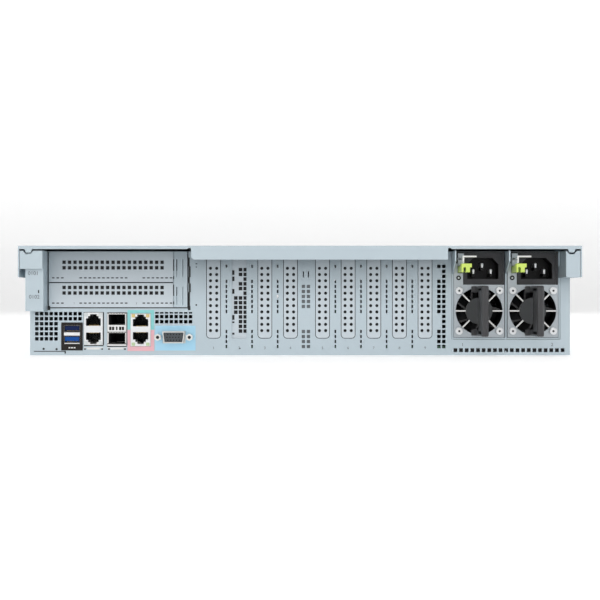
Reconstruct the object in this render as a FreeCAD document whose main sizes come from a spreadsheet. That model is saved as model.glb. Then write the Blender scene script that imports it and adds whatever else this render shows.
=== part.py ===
import FreeCAD, Part
import math
import os
import re
import Sketcher

doc = FreeCAD.newDocument("rack_server")

# Driving sizes in millimetres. X runs across the server, Y from its front to its rear, Z upwards.
SIZES = {
    # Whole server: tub, wider shoulders at cover height, ears in front and handles behind.
    "chassis_width": 428, "chassis_height": 86, "chassis_length": 738, "shoulder_width": 438,
    "shoulder_drop": 24.5, "ear_reach": 28, "handle_reach": 34, "sheet_gauge": 1, "clearance": 0.4,
    # Rear wall and the steel shoulders that stand out behind it.
    "wall_drop": 3.7, "lip_reach": 21, "bracket_reach": 17, "bracket_low": 35, "flange_low": 68,
    "flange_drop": 4, "right_column": 11, "flare_offset": 1.7, "flare_rise": 9,
    # Cover lip with its tall middle part, end notches and corner tabs.
    "lip_thin": 2.6, "lip_tall": 10.8, "lip_left": 84.6, "lip_right": 114.9, "lip_chamfer": 2,
    "lip_notch": 3, "tab_inset": 8.1, "tab_width": 6, "tab_drop": 2.6, "tab_slant": 1.2,
    "tab_ease": 0.2, "notch_rise": 1.2, "notch_foot": 0.4, "cover_split": 150.5, "bead_place": 128,
    "bead_radius": 6, "bead_inset": 40, "bead_depth": 0.5, "dish_back": 266, "dish_length": 96,
    "dish_width": 44, "dish_depth": 5, "latch_gauge": 2.4, "latch_pin": 1.5, "latch_grip": 14,
    "latch_sink": 0.2, "latch_roll": 0.8, "latch_play": 1.6, "latch_end": 1.2, "latch_rim": 16,
    "latch_slot_low": 22, "latch_slot_high": 10,
    # Expansion slots at the standard pitch, with a gap in the middle of the row.
    "slot_pitch": 20.32, "slot_first": 68.5, "slot_gap": 25.4, "slots_left": 4, "slots_right": 5,
    "slot_window": 11.6, "slot_low": 13.3, "slot_top": 79.5, "slot_corner": 3, "slot_seam": 0.5,
    "cover_plate_width": 15, "cover_plate_foot": 4, "boss_hole": 1.25, "boss_hole_offset": 2.45,
    "boss_hole_low": 19.6, "boss_hole_pitch": 4.94, "boss_hole_rows": 11, "mesh_square": 2.9,
    "mesh_pitch": 3.75, "mesh_low": 19.2, "mesh_rows": 14, "mesh_edge": 4.7, "mesh_drop": 5,
    "mesh_low_rows": 8, "mesh_step": 4,
    # Vent patterns of the rear wall.
    "vent_square": 2.8, "vent_pitch": 3.8, "vent_row": 3.98, "vent_low": 13.1, "vent_inset": 5.4,
    "vent_short": 5, "vent_short_rows": 4, "side_vent_lift": 1.75, "dash_rows": 4,
    "dash_middle": 7, "dash_middle_rows": 7, "dash_last": 16, "pair_high": 8, "pair_rows": 5,
    "slit_lift": 14.4, "vent_long": 10, "side_vent_left": 113.4, "side_vent_count": 8,
    "side_vent_low": 26.7, "side_vent_half": 1.3, "dash_width": 1.3, "dash_height": 2.6,
    "dash_low": 6.97, "dash_row": 3.97, "edge_vent": 110.1, "edge_vent_pitch": 3.9,
    "middle_vent": 2.7, "middle_vent_pitch": 4, "slit_width": 0.9, "slit_height": 4.8,
    "foot_vent": 3, "foot_vent_low": 4.1, "foot_vent_pitch": 4.47, "foot_vent_count": 20,
    "foot_vent_start": 123.2,
    # Riser cage above the ports and its two flat slot covers.
    "riser_left": 200, "riser_right": 88.4, "riser_low": 37.2, "riser_length": 190,
    "port_panel_left": 214, "port_panel_right": 82.5, "riser_cover_right": 100.6,
    "riser_seam": 0.9, "riser_split": 57.65, "riser_hole": 2.75, "riser_hole_start": 187,
    "riser_hole_pitch": 4.314, "riser_hole_row": 4.4, "riser_hole_count": 19,
    "riser_hole_rise": 11.3, "riser_dash_width": 2.1, "dash_start": 1.6, "dash_count": 7,
    "dash_second": 37.2, "dash_second_count": 11, "dash_third": 11.6, "dash_third_count": 3,
    "riser_dash_height": 0.9, "riser_dash_rise": 3.3, "riser_dash_pitch": 3.6, "riser_rim": 4,
    "slot_in": 4.4, "slot_rise": 10, "riser_slot": 0.9, "riser_slot_height": 14,
    "riser_slot_step": 4.8, "riser_slot_row": 22, "riser_leg": 30, "riser_strap": 12,
    "card_gauge": 1.6, "card_setback": 66, "card_length": 110, "card_top": 3, "card_slot_low": 8,
    "card_margin": 10, "socket_wall": 3, "socket_over": 6, "card_offset": 6,
    "edge_slot_width": 7.5, "edge_slot_height": 11,
    # Motherboard, its standoffs, and what stands on it.
    "board_low": 5.4, "board_gauge": 1.6, "board_front": 160, "board_edge": 6, "board_notch": 185,
    "board_gap": 12, "post_inset": 30, "post_middle": 60, "post_front": 20, "post_rear": 40,
    "post_left": 70, "post_right": 75, "standoff_radius": 3, "screw_radius": 1.45,
    "screw_fit": 0.15, "screw_head": 3, "screw_head_height": 2, "slot_socket_length": 89,
    "slot_socket_setback": 57, "cpu_spread": 85, "cpu_size": 60, "cpu_height": 6, "cpu_centre": 75,
    "sink_width": 78, "sink_length": 108, "sink_base": 5, "sink_height": 54, "fin_gauge": 0.8,
    "fin_pitch": 3.1, "fin_count": 24, "module_length": 133.4, "module_height": 30,
    "module_gauge": 1.3, "module_pitch": 8, "module_offset": 46, "module_count": 4,
    "socket_width": 6.4, "socket_height": 6, "socket_length": 142, "duct_gauge": 1.5,
    "duct_top": 76, "duct_half_width": 172, "duct_length": 170, "duct_gap": 6,
    # Ports on the rear edge of the board.
    "port_proud": 0.5, "port_gap": 0.3, "usb_x": 180.6, "usb_width": 15.8, "usb_low": 7.2,
    "usb_top": 25.6, "usb_mouth_width": 12.5, "usb_mouth_height": 5.1, "usb_upper": 21.2,
    "usb_lower": 12.8, "usb_depth": 14, "usb_tongue": 1.9, "usb_length": 18, "lan_x": 163.7,
    "lan_width": 14.9, "lan_low": 8.2, "lan_top": 33.9, "lan_mouth": 11.7, "lan_upper": 23.4,
    "lan_lower": 8.9, "lan_mouth_height": 9.2, "lan_depth": 16, "lan_length": 27,
    "lan_step_width": 8.4, "lan_key_width": 5.2, "lan_full": 5.9, "lan_step": 7.7, "lan_foot": 4,
    "foot_rim": 3, "sfp_x": 145.1, "sfp_width": 15.1, "sfp_low": 7.5, "sfp_top": 33.8,
    "sfp_mouth": 13.2, "sfp_upper": 24.1, "sfp_lower": 9.4, "sfp_mouth_height": 8.4,
    "sfp_depth": 42, "sfp_length": 48, "service_x": 126.3, "service_width": 15.9,
    "service_low": 7.2, "service_top": 33.1, "service_mouth": 12.2, "service_upper": 22.9,
    "service_lower": 8.9, "service_mouth_height": 9.5, "vga_x": 99.8, "vga_z": 14.4,
    "vga_shell": 17.6, "vga_shell_height": 9.2, "vga_skew": 1.2, "vga_wall": 0.6, "vga_reach": 5.8,
    "vga_flange": 31, "vga_flange_height": 12.4, "vga_depth": 17, "jack_spread": 12.5,
    "jack_radius": 2.45, "jack_reach": 5,
    # Power supplies: two alike, side by side in their cage at the right of the rear wall.
    "psu_outer": 184.5, "psu_pitch": 42.5, "psu_width": 40, "psu_height": 68, "psu_low": 14.4,
    "psu_length": 185, "psu_wall": 0.8, "psu_face": 1.2, "dock_low": 6, "dock_top": 18,
    "dock_middle": 12, "dock_slot": 9, "edge_rim": 10, "intake_rim": 12, "intake_low": 26,
    "intake_top": 8, "pull_play": 2.2, "pull_boss": 5.6, "psu_fan_rise": 20.8, "psu_bore": 18.6,
    "psu_fan_depth": 28, "psu_fan_block": 38, "psu_hub": 10.5, "rotor_inset": 5,
    "spoke_width": 1.1, "spoke_over": 0.3, "spoke_turn": 45, "screw_spread": 16, "pan_radius": 2.6,
    "pan_height": 1.8, "blade_gauge": 1, "blade_gap": 0.9, "blade_count": 7, "cage_gauge": 1,
    "cage_floor": 13, "wing_reach": 18, "wing_low": 64.5, "wing_slant": 9.5, "inlet_width": 30.4,
    "inlet_low": 41.9, "inlet_height": 25.1, "inlet_shift": 2.8, "inlet_depth": 25,
    "inlet_proud": 0.6, "inlet_mouth": 24.8, "inlet_mouth_height": 16.8, "inlet_mouth_rise": 4.2,
    "inlet_mouth_depth": 16, "inlet_chamfer": 5, "pin_spread": 7, "pin_rise": 4.8, "pin_width": 2,
    "pin_height": 4, "pin_length": 12, "pin_low": 3.9, "grip_width": 5.6, "grip_height": 39.2,
    "grip_gauge": 20, "grip_base": 12.6, "grip_base_gauge": 1.6, "grip_arm": 5,
    "pull_latch_offset": 16.6, "pull_latch_gauge": 1.4, "pull_latch_low": 51,
    "pull_latch_height": 5.2, "pull_latch_root": 40, "pull_latch_reach": 22, "pull_bar_depth": 8,
    "pull_bar_width": 6.4, "pull_bar_height": 2.9, "pull_bar_rise": 3.8, "pull_stem_far": 5,
    "pull_stem_near": 1.9, "knuckle_low": 57.6, "knuckle_height": 8.6, "knuckle_width": 4.6,
    "knuckle_depth": 4.6, "knuckle_offset": 15, "wire_radius": 0.65, "wire_fit": 0.3,
    "wire_reach": 17, "wire_arm": 10.2, "wire_rise": 1.4, "wire_drop": 3.6, "lamp_radius": 1.3,
    "lamp_offset": 16.3, "lamp_rise": 47, "tongue_length": 8,
    # Fans between the drives and the board.
    "fan_count": 4, "axle_inset": 6, "fan_size": 80, "fan_depth": 38, "fan_pitch": 104,
    "fan_setback": 167, "fan_low": 2.6, "fan_bore": 38, "fan_hub": 15, "fan_axle": 1.5,
    "axle_fit": 0.3, "fan_blade_gap": 1.2, "fan_blade_gauge": 1.6, "blade_twist": 0.35,
    "blade_lean": 0.6, "blade_root": 1.2, "blade_foot": 1.4, "strut_width": 3,
    # Drive cage, trays, drives and the grille above them.
    "bay_depth": 150, "bay_post": 24, "plane_rim": 4, "plug_width": 42, "plug_reach": 5.5,
    "plug_low": 3, "plug_top": 9, "bay_count": 4, "bay_pitch": 105, "bay_top": 30,
    "divider_gauge": 1, "drive_width": 101.6, "drive_length": 147, "drive_height": 26.1,
    "drive_low": 2.4, "drive_front": 3, "drive_tail": 6, "drive_board": 1.4, "drive_brim": 3,
    "drive_lid_gap": 12, "drive_board_front": 30, "rail_gauge": 0.8, "bezel_reach": 12,
    "bezel_depth": 10, "bezel_inset": 0.5, "tray_window": 20.32, "tray_window_height": 4.4,
    "tray_window_step": 25.4, "tray_window_drop": 4.2, "tray_windows": 3, "rail_low": 1.5,
    "rail_top": 3, "lever_gauge": 3.6, "lever_ear": 3, "lever_slot_start": 14, "lever_slot": 8,
    "lever_slot_height": 8, "lever_slot_step": 12, "lever_slots": 5, "lever_tip": 4,
    "lever_length": 88, "lever_height": 15, "lever_rise": 6, "lever_barrel": 2.2, "lever_pin": 1,
    "backplane_gauge": 1.6, "grille_hole": 4.2, "hexagon_rise": 0.866, "grille_pitch": 9.6,
    "grille_rows": 3, "grille_columns": 41,
    # Rack ears, their flip latches and the two buttons.
    "rack_width": 482.6, "rack_hole_spread": 465.1, "rack_hole_rise": 44.45, "rack_hole": 3.2,
    "rack_slot": 9.6, "ear_gauge": 2, "ear_setback": 8, "ear_arm": 42, "ear_wall": 1.6,
    "ear_margin": 0.6, "ear_inner": 5.6, "ear_top_panel": 16, "door_gauge": 2.6, "door_low": 12,
    "door_pin": 1, "door_wall": 1.2, "door_knuckle": 3, "door_grip": 3, "button_radius": 3.4,
    "small_button": 2.2, "button_spread": 4.4, "button_length": 7, "button_proud": 0.6,
    "button_brim": 0.9,
    # Studs on the tub's sides that hang it in its rails.
    "stud_radius": 2.4, "stud_neck": 1.6, "stud_head": 4, "stud_head_height": 1.2, "stud_rise": 34,
    "stud_spacing": 280,
}

# Places worked out from the sizes.
PLACES = {
    "rear": "(chassis_length + ear_reach - handle_reach) / 2",
    "front": "rear - chassis_length",
    "wall_back": "rear - sheet_gauge",
    "side": "chassis_width / 2",
    "inner": "side - sheet_gauge",
    "shoulder": "shoulder_width / 2",
    "under_cover": "chassis_height - sheet_gauge",
    "tub_top": "under_cover - clearance",
    "wall_top": "chassis_height - wall_drop",
    "skirt_low": "chassis_height - shoulder_drop",
    "lip_back": "rear + lip_reach",
    "lip_front": "lip_back - sheet_gauge",
    "flange_top": "chassis_height - flange_drop",
    "flange_out": "shoulder - sheet_gauge - clearance",
    "column_in": "flange_out - right_column",
    "cover_front": "front + cover_split",
    "slot_last": "slot_first - (slots_left - 1) * slot_pitch",
    "slot_next": "slot_last - slot_gap",
    "board_top": "board_low + board_gauge",
    "cage_in": "psu_outer - psu_pitch - psu_width / 2 - clearance",
    "cage_mid": "psu_outer - psu_pitch / 2",
    "cage_out": "psu_outer + psu_width / 2 + clearance + cage_gauge",
    "cage_front": "rear - psu_length - tongue_length - 7",
    "psu_top": "psu_low + psu_height",
    "psu_front": "rear - psu_length",
    "cage_back": "front + bay_depth",
    "bezel_back": "front - bezel_reach + bezel_depth",
    "bezel_face": "front - bezel_reach",
    "ear_plane": "front + ear_setback",
    "ear_face": "front - ear_reach",
    "fan_back": "-fan_setback",
    "fan_front": "fan_back - fan_depth",
    "fan_z": "fan_low + fan_size / 2",
    "door_y": "ear_face + door_pin + 1",
    "ear_front": "ear_face + 2 * door_pin + 2 + clearance",
    "door_top": "chassis_height - ear_margin - ear_top_panel - 3",
    "button_z": "chassis_height - ear_margin - ear_top_panel / 2",
    "ear_middle": "(side + ear_inner + rack_width / 2) / 2",
    "board_rear": "rear - 3",
    "plug_back": "cage_back + clearance",
    "port_face": "rear + port_proud",
    "hairline": "clearance / 4",
    "far_gap": "slot_next - (slots_right - 1) * slot_pitch + slot_pitch / 2",
}

sizes = doc.addObject("Spreadsheet::Sheet", "Sizes")
for row, (word, value) in enumerate(SIZES.items(), 1):
    sizes.set(f"A{row}", word)
    sizes.set(f"B{row}", str(value))
    sizes.setAlias(f"B{row}", word)
doc.recompute()


def named(text):
    """Turn a formula in plain size and place names into one the document can follow."""
    def swap(match):
        word = match.group(0)
        if word in SIZES:
            return "Sizes." + word
        if word in PLACES:
            return "Places." + word
        return word
    return re.sub(r"[A-Za-z_]\w*", swap, str(text))


places = doc.addObject("Spreadsheet::Sheet", "Places")
for row, (word, formula) in enumerate(PLACES.items(), 1):
    places.set(f"A{row}", word)
    places.set(f"B{row}", "=" + named(formula).replace("Places.", ""))
    places.setAlias(f"B{row}", word)
doc.recompute()

NODES = []


def keep(name, item):
    """Name a finished piece: its label is its file name."""
    item.Label = name
    NODES.append(item)
    return item


def about(centre, width):
    """The two ends of a span of this width about a centre."""
    return (f"({centre}) - ({width}) / 2", f"({centre}) + ({width}) / 2")


def block(name, x, y, z):
    """A box between two places along each axis."""
    item = doc.addObject("Part::Box", name)
    for size, axis, (low, high) in zip(("Length", "Width", "Height"), "xyz", (x, y, z)):
        item.setExpression(size, named(f"({high}) - ({low})"))
        item.setExpression(f"Placement.Base.{axis}", named(low))
    return item


ROD_TURNS = {
    "x": FreeCAD.Rotation(FreeCAD.Vector(0, 1, 0), 90),
    "y": FreeCAD.Rotation(FreeCAD.Vector(1, 0, 0), -90),
    "z": FreeCAD.Rotation(),
}


def rod(name, radius, x, y, z):
    """A round bar along the axis whose place is given as two ends."""
    item = doc.addObject("Part::Cylinder", name)
    ends = {"x": x, "y": y, "z": z}
    along = next(axis for axis in "xyz" if isinstance(ends[axis], tuple))
    item.Placement = FreeCAD.Placement(FreeCAD.Vector(), ROD_TURNS[along])
    item.setExpression("Radius", named(radius))
    low, high = ends[along]
    item.setExpression("Height", named(f"({high}) - ({low})"))
    ends[along] = low
    for axis in "xyz":
        item.setExpression(f"Placement.Base.{axis}", named(ends[axis]))
    return item


def join(name, items):
    """One solid from pieces that meet."""
    item = doc.addObject("Part::MultiFuse", name)
    item.Shapes = list(items)
    return item


def bundle(name, items):
    """Several separate solids kept together."""
    item = doc.addObject("Part::Compound", name)
    item.Links = list(items)
    return item


def cut(name, base, tools):
    """Take tools away from a base."""
    item = doc.addObject("Part::Cut", name)
    item.Base = base
    item.Tool = tools[0] if len(tools) == 1 else join(name + "_tools", tools)
    return item


PLANES = {"XY": "XY_Plane", "XZ": "XZ_Plane", "YZ": "YZ_Plane"}


def sketch_in(body, name, plane, place="0"):
    """A sketch on one of the body's own planes, moved along that plane's axis."""
    sketch = body.newObject("Sketcher::SketchObject", name)
    role = PLANES[plane]
    origin = next(item for item in body.Origin.OriginFeatures if item.Role == role)
    sketch.AttachmentSupport = [(origin, "")]
    sketch.MapMode = "FlatFace"
    sign = "-" if plane == "XZ" else ""
    sketch.setExpression("AttachmentOffset.Base.z", named(f"{sign}({place})"))
    return sketch


def polygon(sketch, points):
    """A closed outline whose corners follow formulas."""
    first = sketch.GeometryCount
    start = [tuple(float(doc_value(word)) for word in point) for point in points]
    for index, corner in enumerate(start):
        after = start[(index + 1) % len(start)]
        sketch.addGeometry(Part.LineSegment(FreeCAD.Vector(*corner, 0), FreeCAD.Vector(*after, 0)))
    for index, point in enumerate(points):
        line = first + index
        following = first + (index + 1) % len(points)
        sketch.addConstraint(Sketcher.Constraint("Coincident", line, 2, following, 1))
        for kind, word, value in zip(("DistanceX", "DistanceY"), point, start[index]):
            rule = sketch.addConstraint(Sketcher.Constraint(kind, -1, 1, line, 1, value))
            sketch.setExpression(f"Constraints[{rule}]", named(word))


def circle(sketch, x, y, radius):
    """A circle whose centre and radius follow formulas."""
    centre = (float(doc_value(x)), float(doc_value(y)))
    size = float(doc_value(radius))
    normal = FreeCAD.Vector(0, 0, 1)
    ring = sketch.addGeometry(Part.Circle(FreeCAD.Vector(*centre, 0), normal, size))
    for kind, word, value in zip(("DistanceX", "DistanceY"), (x, y), centre):
        rule = sketch.addConstraint(Sketcher.Constraint(kind, -1, 1, ring, 3, value))
        sketch.setExpression(f"Constraints[{rule}]", named(word))
    rule = sketch.addConstraint(Sketcher.Constraint("Radius", ring, size))
    sketch.setExpression(f"Constraints[{rule}]", named(radius))


def doc_value(formula):
    """The present value of a formula, used to draw a sketch close to its final shape."""
    value = sizes.evalExpression(named(formula))
    return getattr(value, "Value", value)


def plate(name, plane, points, low, high):
    """A flat piece with this outline between two places along the plane's axis."""
    body = doc.addObject("PartDesign::Body", name)
    outline = sketch_in(body, name + "_outline", plane, high if plane == "XZ" else low)
    polygon(outline, points)
    pad = body.newObject("PartDesign::Pad", name + "_pad")
    pad.Profile = outline
    pad.setExpression("Length", named(f"({high}) - ({low})"))
    return body


def rectangle(x, y):
    """The four corners of a rectangle between two pairs of places."""
    return [(x[0], y[0]), (x[1], y[0]), (x[1], y[1]), (x[0], y[1])]


def pocket(body, name, plane, draw):
    """Cut a drawn shape right through a body."""
    sketch = sketch_in(body, name + "_sketch", plane)
    draw(sketch)
    hole = body.newObject("PartDesign::Pocket", name)
    hole.Profile = sketch
    hole.Type = "ThroughAll"
    hole.SideType = "Symmetric"
    hole.Refine = False
    return hole


def repeat(body, hole, step, count):
    """Repeat a hole along the two directions of its sketch."""
    array = body.newObject("PartDesign::LinearPattern", hole.Name + "_array")
    array.Originals = [hole]
    array.Spacings2 = []
    sketch = hole.Profile[0]
    array.Direction = (sketch, ["H_Axis"])
    array.Mode = "Spacing"
    array.setExpression("Offset", named(step[0]))
    array.setExpression("Occurrences", named(count[0]))
    array.Direction2 = (sketch, ["V_Axis"])
    array.Mode2 = "Spacing"
    array.setExpression("Offset2", named(step[1]))
    array.setExpression("Occurrences2", named(count[1]))
    array.Refine = False
    body.Tip = array


def vent(body, name, start, hole, step=("1", "1"), count=("1", "1"), plane="XZ"):
    """A field of rectangular holes from the first hole's centre."""
    corners = rectangle(about(start[0], hole[0]), about(start[1], hole[1]))
    repeat(body, pocket(body, name, plane, lambda sketch: polygon(sketch, corners)), step, count)


def round_vent(body, name, start, radius, step=("1", "1"), count=("1", "1"), plane="XZ"):
    """A field of round holes from the first hole's centre."""
    hole = pocket(body, name, plane, lambda sketch: circle(sketch, *start, radius))
    repeat(body, hole, step, count)


def punch(name, start, hole, step=("1", "1"), count=("1", "1"), low="wall_back - 1",
          high="rear + 1"):
    """A field of square bars, used to punch a field of holes through a sheet."""
    bars = plate(name, "XZ", rectangle(about(start[0], hole[0]), about(start[1], hole[1])),
                 low, high)
    repeat(bars, bars.Tip, step, count)
    return bars


def across(sign, low, high):
    """A span on one side of the server's middle plane."""
    return (low, high) if sign > 0 else (f"-({high})", f"-({low})")


SLOT_PLACES = [f"slot_first - {index} * slot_pitch" for index in range(SIZES["slots_left"])]
SLOT_PLACES += [f"slot_next - {index} * slot_pitch" for index in range(SIZES["slots_right"])]
MESH_SLOT = 1


# ---- Tub and rear wall

def board_posts():
    """The places of the board's screws, in rows along the server."""
    spots = []
    for x in ("-(inner - post_inset)", "-post_middle", "post_middle", "inner - post_inset"):
        for y in ("post_front - board_front", "rear - board_notch - post_rear"):
            spots.append((x, y))
    spots.append(("inner - post_inset", "rear - post_left"))
    spots.append(("far_gap", "rear - post_right"))
    return spots


def chassis_pan():
    """Floor and side walls folded from one sheet, with the board's standoffs pressed in."""
    parts = [block("tub_floor", ("-side", "side"), ("front", "wall_back"), ("0", "sheet_gauge"))]
    for word, sign in (("left", 1), ("right", -1)):
        parts.append(block(f"tub_{word}", across(sign, "inner", "side"), ("front", "wall_back"),
                           ("0", "tub_top")))
    for x, y in board_posts():
        parts.append(rod("standoff", "standoff_radius", x, y, ("sheet_gauge", "board_low")))
    tub = join("tub", parts)
    bores = [rod("standoff_bore", "screw_radius + screw_fit", x, y, ("sheet_gauge", "board_low"))
             for x, y in board_posts()]
    keep("chassis_pan", cut("chassis_pan", tub, bores))


def rear_wall_openings(wall):
    """Windows for ports and slots, and all the vent holes."""
    ports = (("usb", "usb_x", "usb_width", "usb_low", "usb_top"),
             ("lan", "lan_x", "lan_width", "lan_low", "lan_top"),
             ("sfp", "sfp_x", "sfp_width", "sfp_low", "sfp_top"),
             ("service", "service_x", "service_width", "service_low", "service_top"))
    for word, x, width, low, top in ports:
        corners = rectangle(about(x, f"{width} + 2 * port_gap"),
                            (f"{low} - port_gap", f"{top} + port_gap"))
        pocket(wall, f"{word}_window", "XZ", lambda sketch, shape=corners: polygon(sketch, shape))
    vga = rectangle(about("vga_x", "vga_shell + 2 * port_gap"),
                    about("vga_z", "vga_shell_height + 2 * port_gap"))
    pocket(wall, "vga_window", "XZ", lambda sketch: polygon(sketch, vga))
    round_vent(wall, "jack_holes", ("vga_x - jack_spread", "vga_z"), "jack_radius + port_gap",
               ("2 * jack_spread", "1"), ("2", "1"))
    for index, place in enumerate(SLOT_PLACES):
        corners = rectangle(about(place, "slot_window"), ("slot_low", "slot_top"))
        pocket(wall, f"slot_window_{index + 1}", "XZ",
               lambda sketch, shape=corners: polygon(sketch, shape))


def rear_wall_punches():
    """Rows of vent holes beside the ports, between the slots and under the power supplies."""
    square = ("vent_square", "vent_square")
    last = "side - vent_inset - (vent_long - 1) * vent_pitch"
    short = "side - vent_inset - (vent_short - 1) * vent_pitch"
    step = ("vent_pitch", "vent_row")
    start = "side_vent_left - (side_vent_count - 1) * vent_pitch"
    punches = [
        punch("corner_vent", (short, "vent_low"), square, step,
              ("vent_short", "vent_short_rows")),
        punch("corner_vent_top", (last, "vent_low + vent_short_rows * vent_row"), square, step,
              ("vent_long", "2")),
        punch("side_vent", (start, "side_vent_low"), square, step, ("side_vent_count", "2")),
        punch("side_vent_half_row", (start, "side_vent_low + side_vent_lift * vent_row"),
              ("vent_square", "side_vent_half"), step, ("side_vent_count", "1")),
    ]
    dash = ("dash_width", "dash_height")
    runs = (("slot_last + slot_pitch / 2", "slots_left - 1"),
            ("far_gap", "slots_right - 1"))
    thirds = (("low", "0", "dash_rows"), ("mid", "dash_middle", "dash_middle_rows"),
              ("top", "dash_last", "1"))
    for word, (x, count) in zip(("near", "far"), runs):
        for part, first, rows in thirds:
            punches.append(punch(f"dash_{word}_{part}", (x, f"dash_low + {first} * dash_row"),
                                 dash, ("slot_pitch", "dash_row"), (count, rows)))
    middle = "-middle_vent - middle_vent_pitch"
    for part, first, rows in (("low", "0", "dash_rows"), ("high", "pair_high", "pair_rows")):
        punches.append(punch(f"middle_{part}", (middle, f"dash_low + {first} * dash_row"),
                             ("dash_height", "dash_height"), ("middle_vent_pitch", "dash_row"),
                             ("2", rows)))
    punches.append(punch("middle_slits", (middle, "dash_low + slit_lift * dash_row"),
                         ("slit_width", "slit_height"), ("middle_vent_pitch", "1"), ("2", "1")))
    for part, first, rows in thirds:
        punches.append(punch(f"edge_{part}", ("-edge_vent", f"dash_low + {first} * dash_row"),
                             square, ("1", "dash_row"), ("1", rows)))
    punches.append(punch("edge_long", ("-edge_vent - edge_vent_pitch", "dash_low"), square,
                         ("1", "dash_row"), ("1", "dash_last + 1")))
    foot = "-foot_vent_start - (foot_vent_count - 1) * foot_vent_pitch"
    punches.append(punch("foot_row", (foot, "foot_vent_low"), ("foot_vent", "foot_vent"),
                         ("foot_vent_pitch", "1"), ("foot_vent_count", "1")))
    return punches


def rear_wall_plate():
    """The wall's sheet, open at the top for the riser cage and the power supplies."""
    low = "cage_floor - clearance"
    near = "-(cage_in - cage_gauge - clearance)"
    far = "-(cage_out + clearance)"
    points = [("-side", "0"), ("side", "0"), ("side", "wall_top"), ("riser_left", "wall_top"),
              ("riser_left", "riser_low"), ("riser_right", "riser_low"),
              ("riser_right", "wall_top"), (near, "wall_top"), (near, low), (far, low),
              (far, "wall_top"), ("-side", "wall_top")]
    wall = plate("rear_sheet", "XZ", points, "wall_back", "rear")
    rear_wall_openings(wall)
    doc.recompute()
    round_slot_corners(wall)
    return wall


def round_slot_corners(wall):
    """Round the two lower corners of every slot window but the mesh slot's."""
    base = wall.Tip
    floor = float(doc_value("slot_low"))
    reach = float(doc_value("slot_window")) / 2
    centres = [float(doc_value(place)) for index, place in enumerate(SLOT_PLACES)
               if index != MESH_SLOT]
    edges = []
    for number, edge in enumerate(base.Shape.Edges, 1):
        box = edge.BoundBox
        upright = abs(box.YLength - float(doc_value("sheet_gauge"))) < 0.01
        at_side = any(abs(abs(box.XMin - centre) - reach) < 0.01 for centre in centres)
        if upright and at_side and box.XLength < 0.01 and abs(box.ZMin - floor) < 0.01:
            edges.append(f"Edge{number}")
    fillet = wall.newObject("PartDesign::Fillet", "slot_corners")
    fillet.Base = (base, edges)
    fillet.setExpression("Radius", "Sizes.slot_corner")


def notch_corners(sign):
    """The slanted notch that takes a corner tab of the cover, cut in a flange's top edge."""
    centre = f"{sign} * (shoulder - tab_inset)"
    top = "flange_top"
    return [(f"{centre} - tab_width / 2 - 2 * clearance", f"{top} + 1"),
            (f"{centre} - tab_width / 2 - 2 * clearance", f"{top} - tab_ease * tab_drop"),
            (f"{centre} - tab_width / 2 + tab_slant", f"{top} - tab_drop"),
            (f"{centre} + tab_width / 2 - tab_slant", f"{top} - tab_drop"),
            (f"{centre} + tab_width / 2 + 2 * clearance", f"{top} - tab_ease * tab_drop"),
            (f"{centre} + tab_width / 2 + 2 * clearance", f"{top} + 1")]


def left_shoulder():
    """The folded bracket beside the riser cage and the flange above it."""
    inner = "riser_left + sheet_gauge"
    face = "rear + bracket_reach"
    parts = [
        block("bracket_outer", ("inner", "side"), ("rear", face), ("bracket_low", "wall_top")),
        block("bracket_face", ("riser_left", "side"), (f"{face} - sheet_gauge", face),
              ("bracket_low", "wall_top")),
        block("bracket_inner", ("riser_left", inner), ("rear", face),
              ("bracket_low", "wall_top")),
        block("flange_web", ("riser_left", inner), ("rear", "lip_back"),
              ("flange_low", "flange_top")),
        block("left_flange", ("riser_left", "flange_out"), ("lip_front", "lip_back"),
              ("flange_low", "flange_top")),
    ]
    notch = plate("left_notch", "XZ", notch_corners(1), "lip_front - 1", "lip_back + 1")
    return cut("left_shoulder", join("left_shoulder_sheets", parts), [notch])


def right_shoulder():
    """The box-shaped corner beside the power supplies, with a lead-in flare."""
    out = across(-1, "column_in", "flange_out")
    web = across(-1, "column_in", "column_in + sheet_gauge")
    tall = ("skirt_low", "flange_top")
    flare = [("-column_in", "lip_back"), ("-(column_in + sheet_gauge)", "lip_back"),
             ("-(column_in - flare_offset + sheet_gauge)", "rear"),
             ("-(column_in - flare_offset)", "rear")]
    parts = [
        block("right_flange", out, ("lip_front", "lip_back"), tall),
        block("right_web", web, ("rear", "lip_back"), tall),
        block("right_foot", out, ("rear + 2", "lip_back"),
              ("skirt_low", "skirt_low + sheet_gauge")),
        plate("right_flare", "XY", flare, "skirt_low", "skirt_low + flare_rise"),
    ]
    notch = plate("right_notch", "XZ", notch_corners(-1), "lip_front - 1", "lip_back + 1")
    return cut("right_shoulder", join("right_shoulder_sheets", parts), [notch])


def rear_wall():
    """The rear wall with both shoulders welded on, and its vents punched last."""
    welded = join("rear_welded", [rear_wall_plate(), left_shoulder(), right_shoulder()])
    punched = cut("wall_punched", welded, [bundle("wall_punches", rear_wall_punches())])
    punched.Refine = False
    span = ("port_panel_right", "port_panel_left")
    sheet = ("wall_back", "rear")
    panel = doc.addObject("Part::MultiCommon", "port_sheet")
    panel.Shapes = [punched, block("panel_space", span, sheet, ("0", "riser_low"))]
    keep("port_panel", panel)
    keep("rear_wall", cut("wall_rest", punched, [
        block("panel_gap", span, sheet, ("0", "riser_low"))]))


# ---- Slot covers and riser

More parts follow.
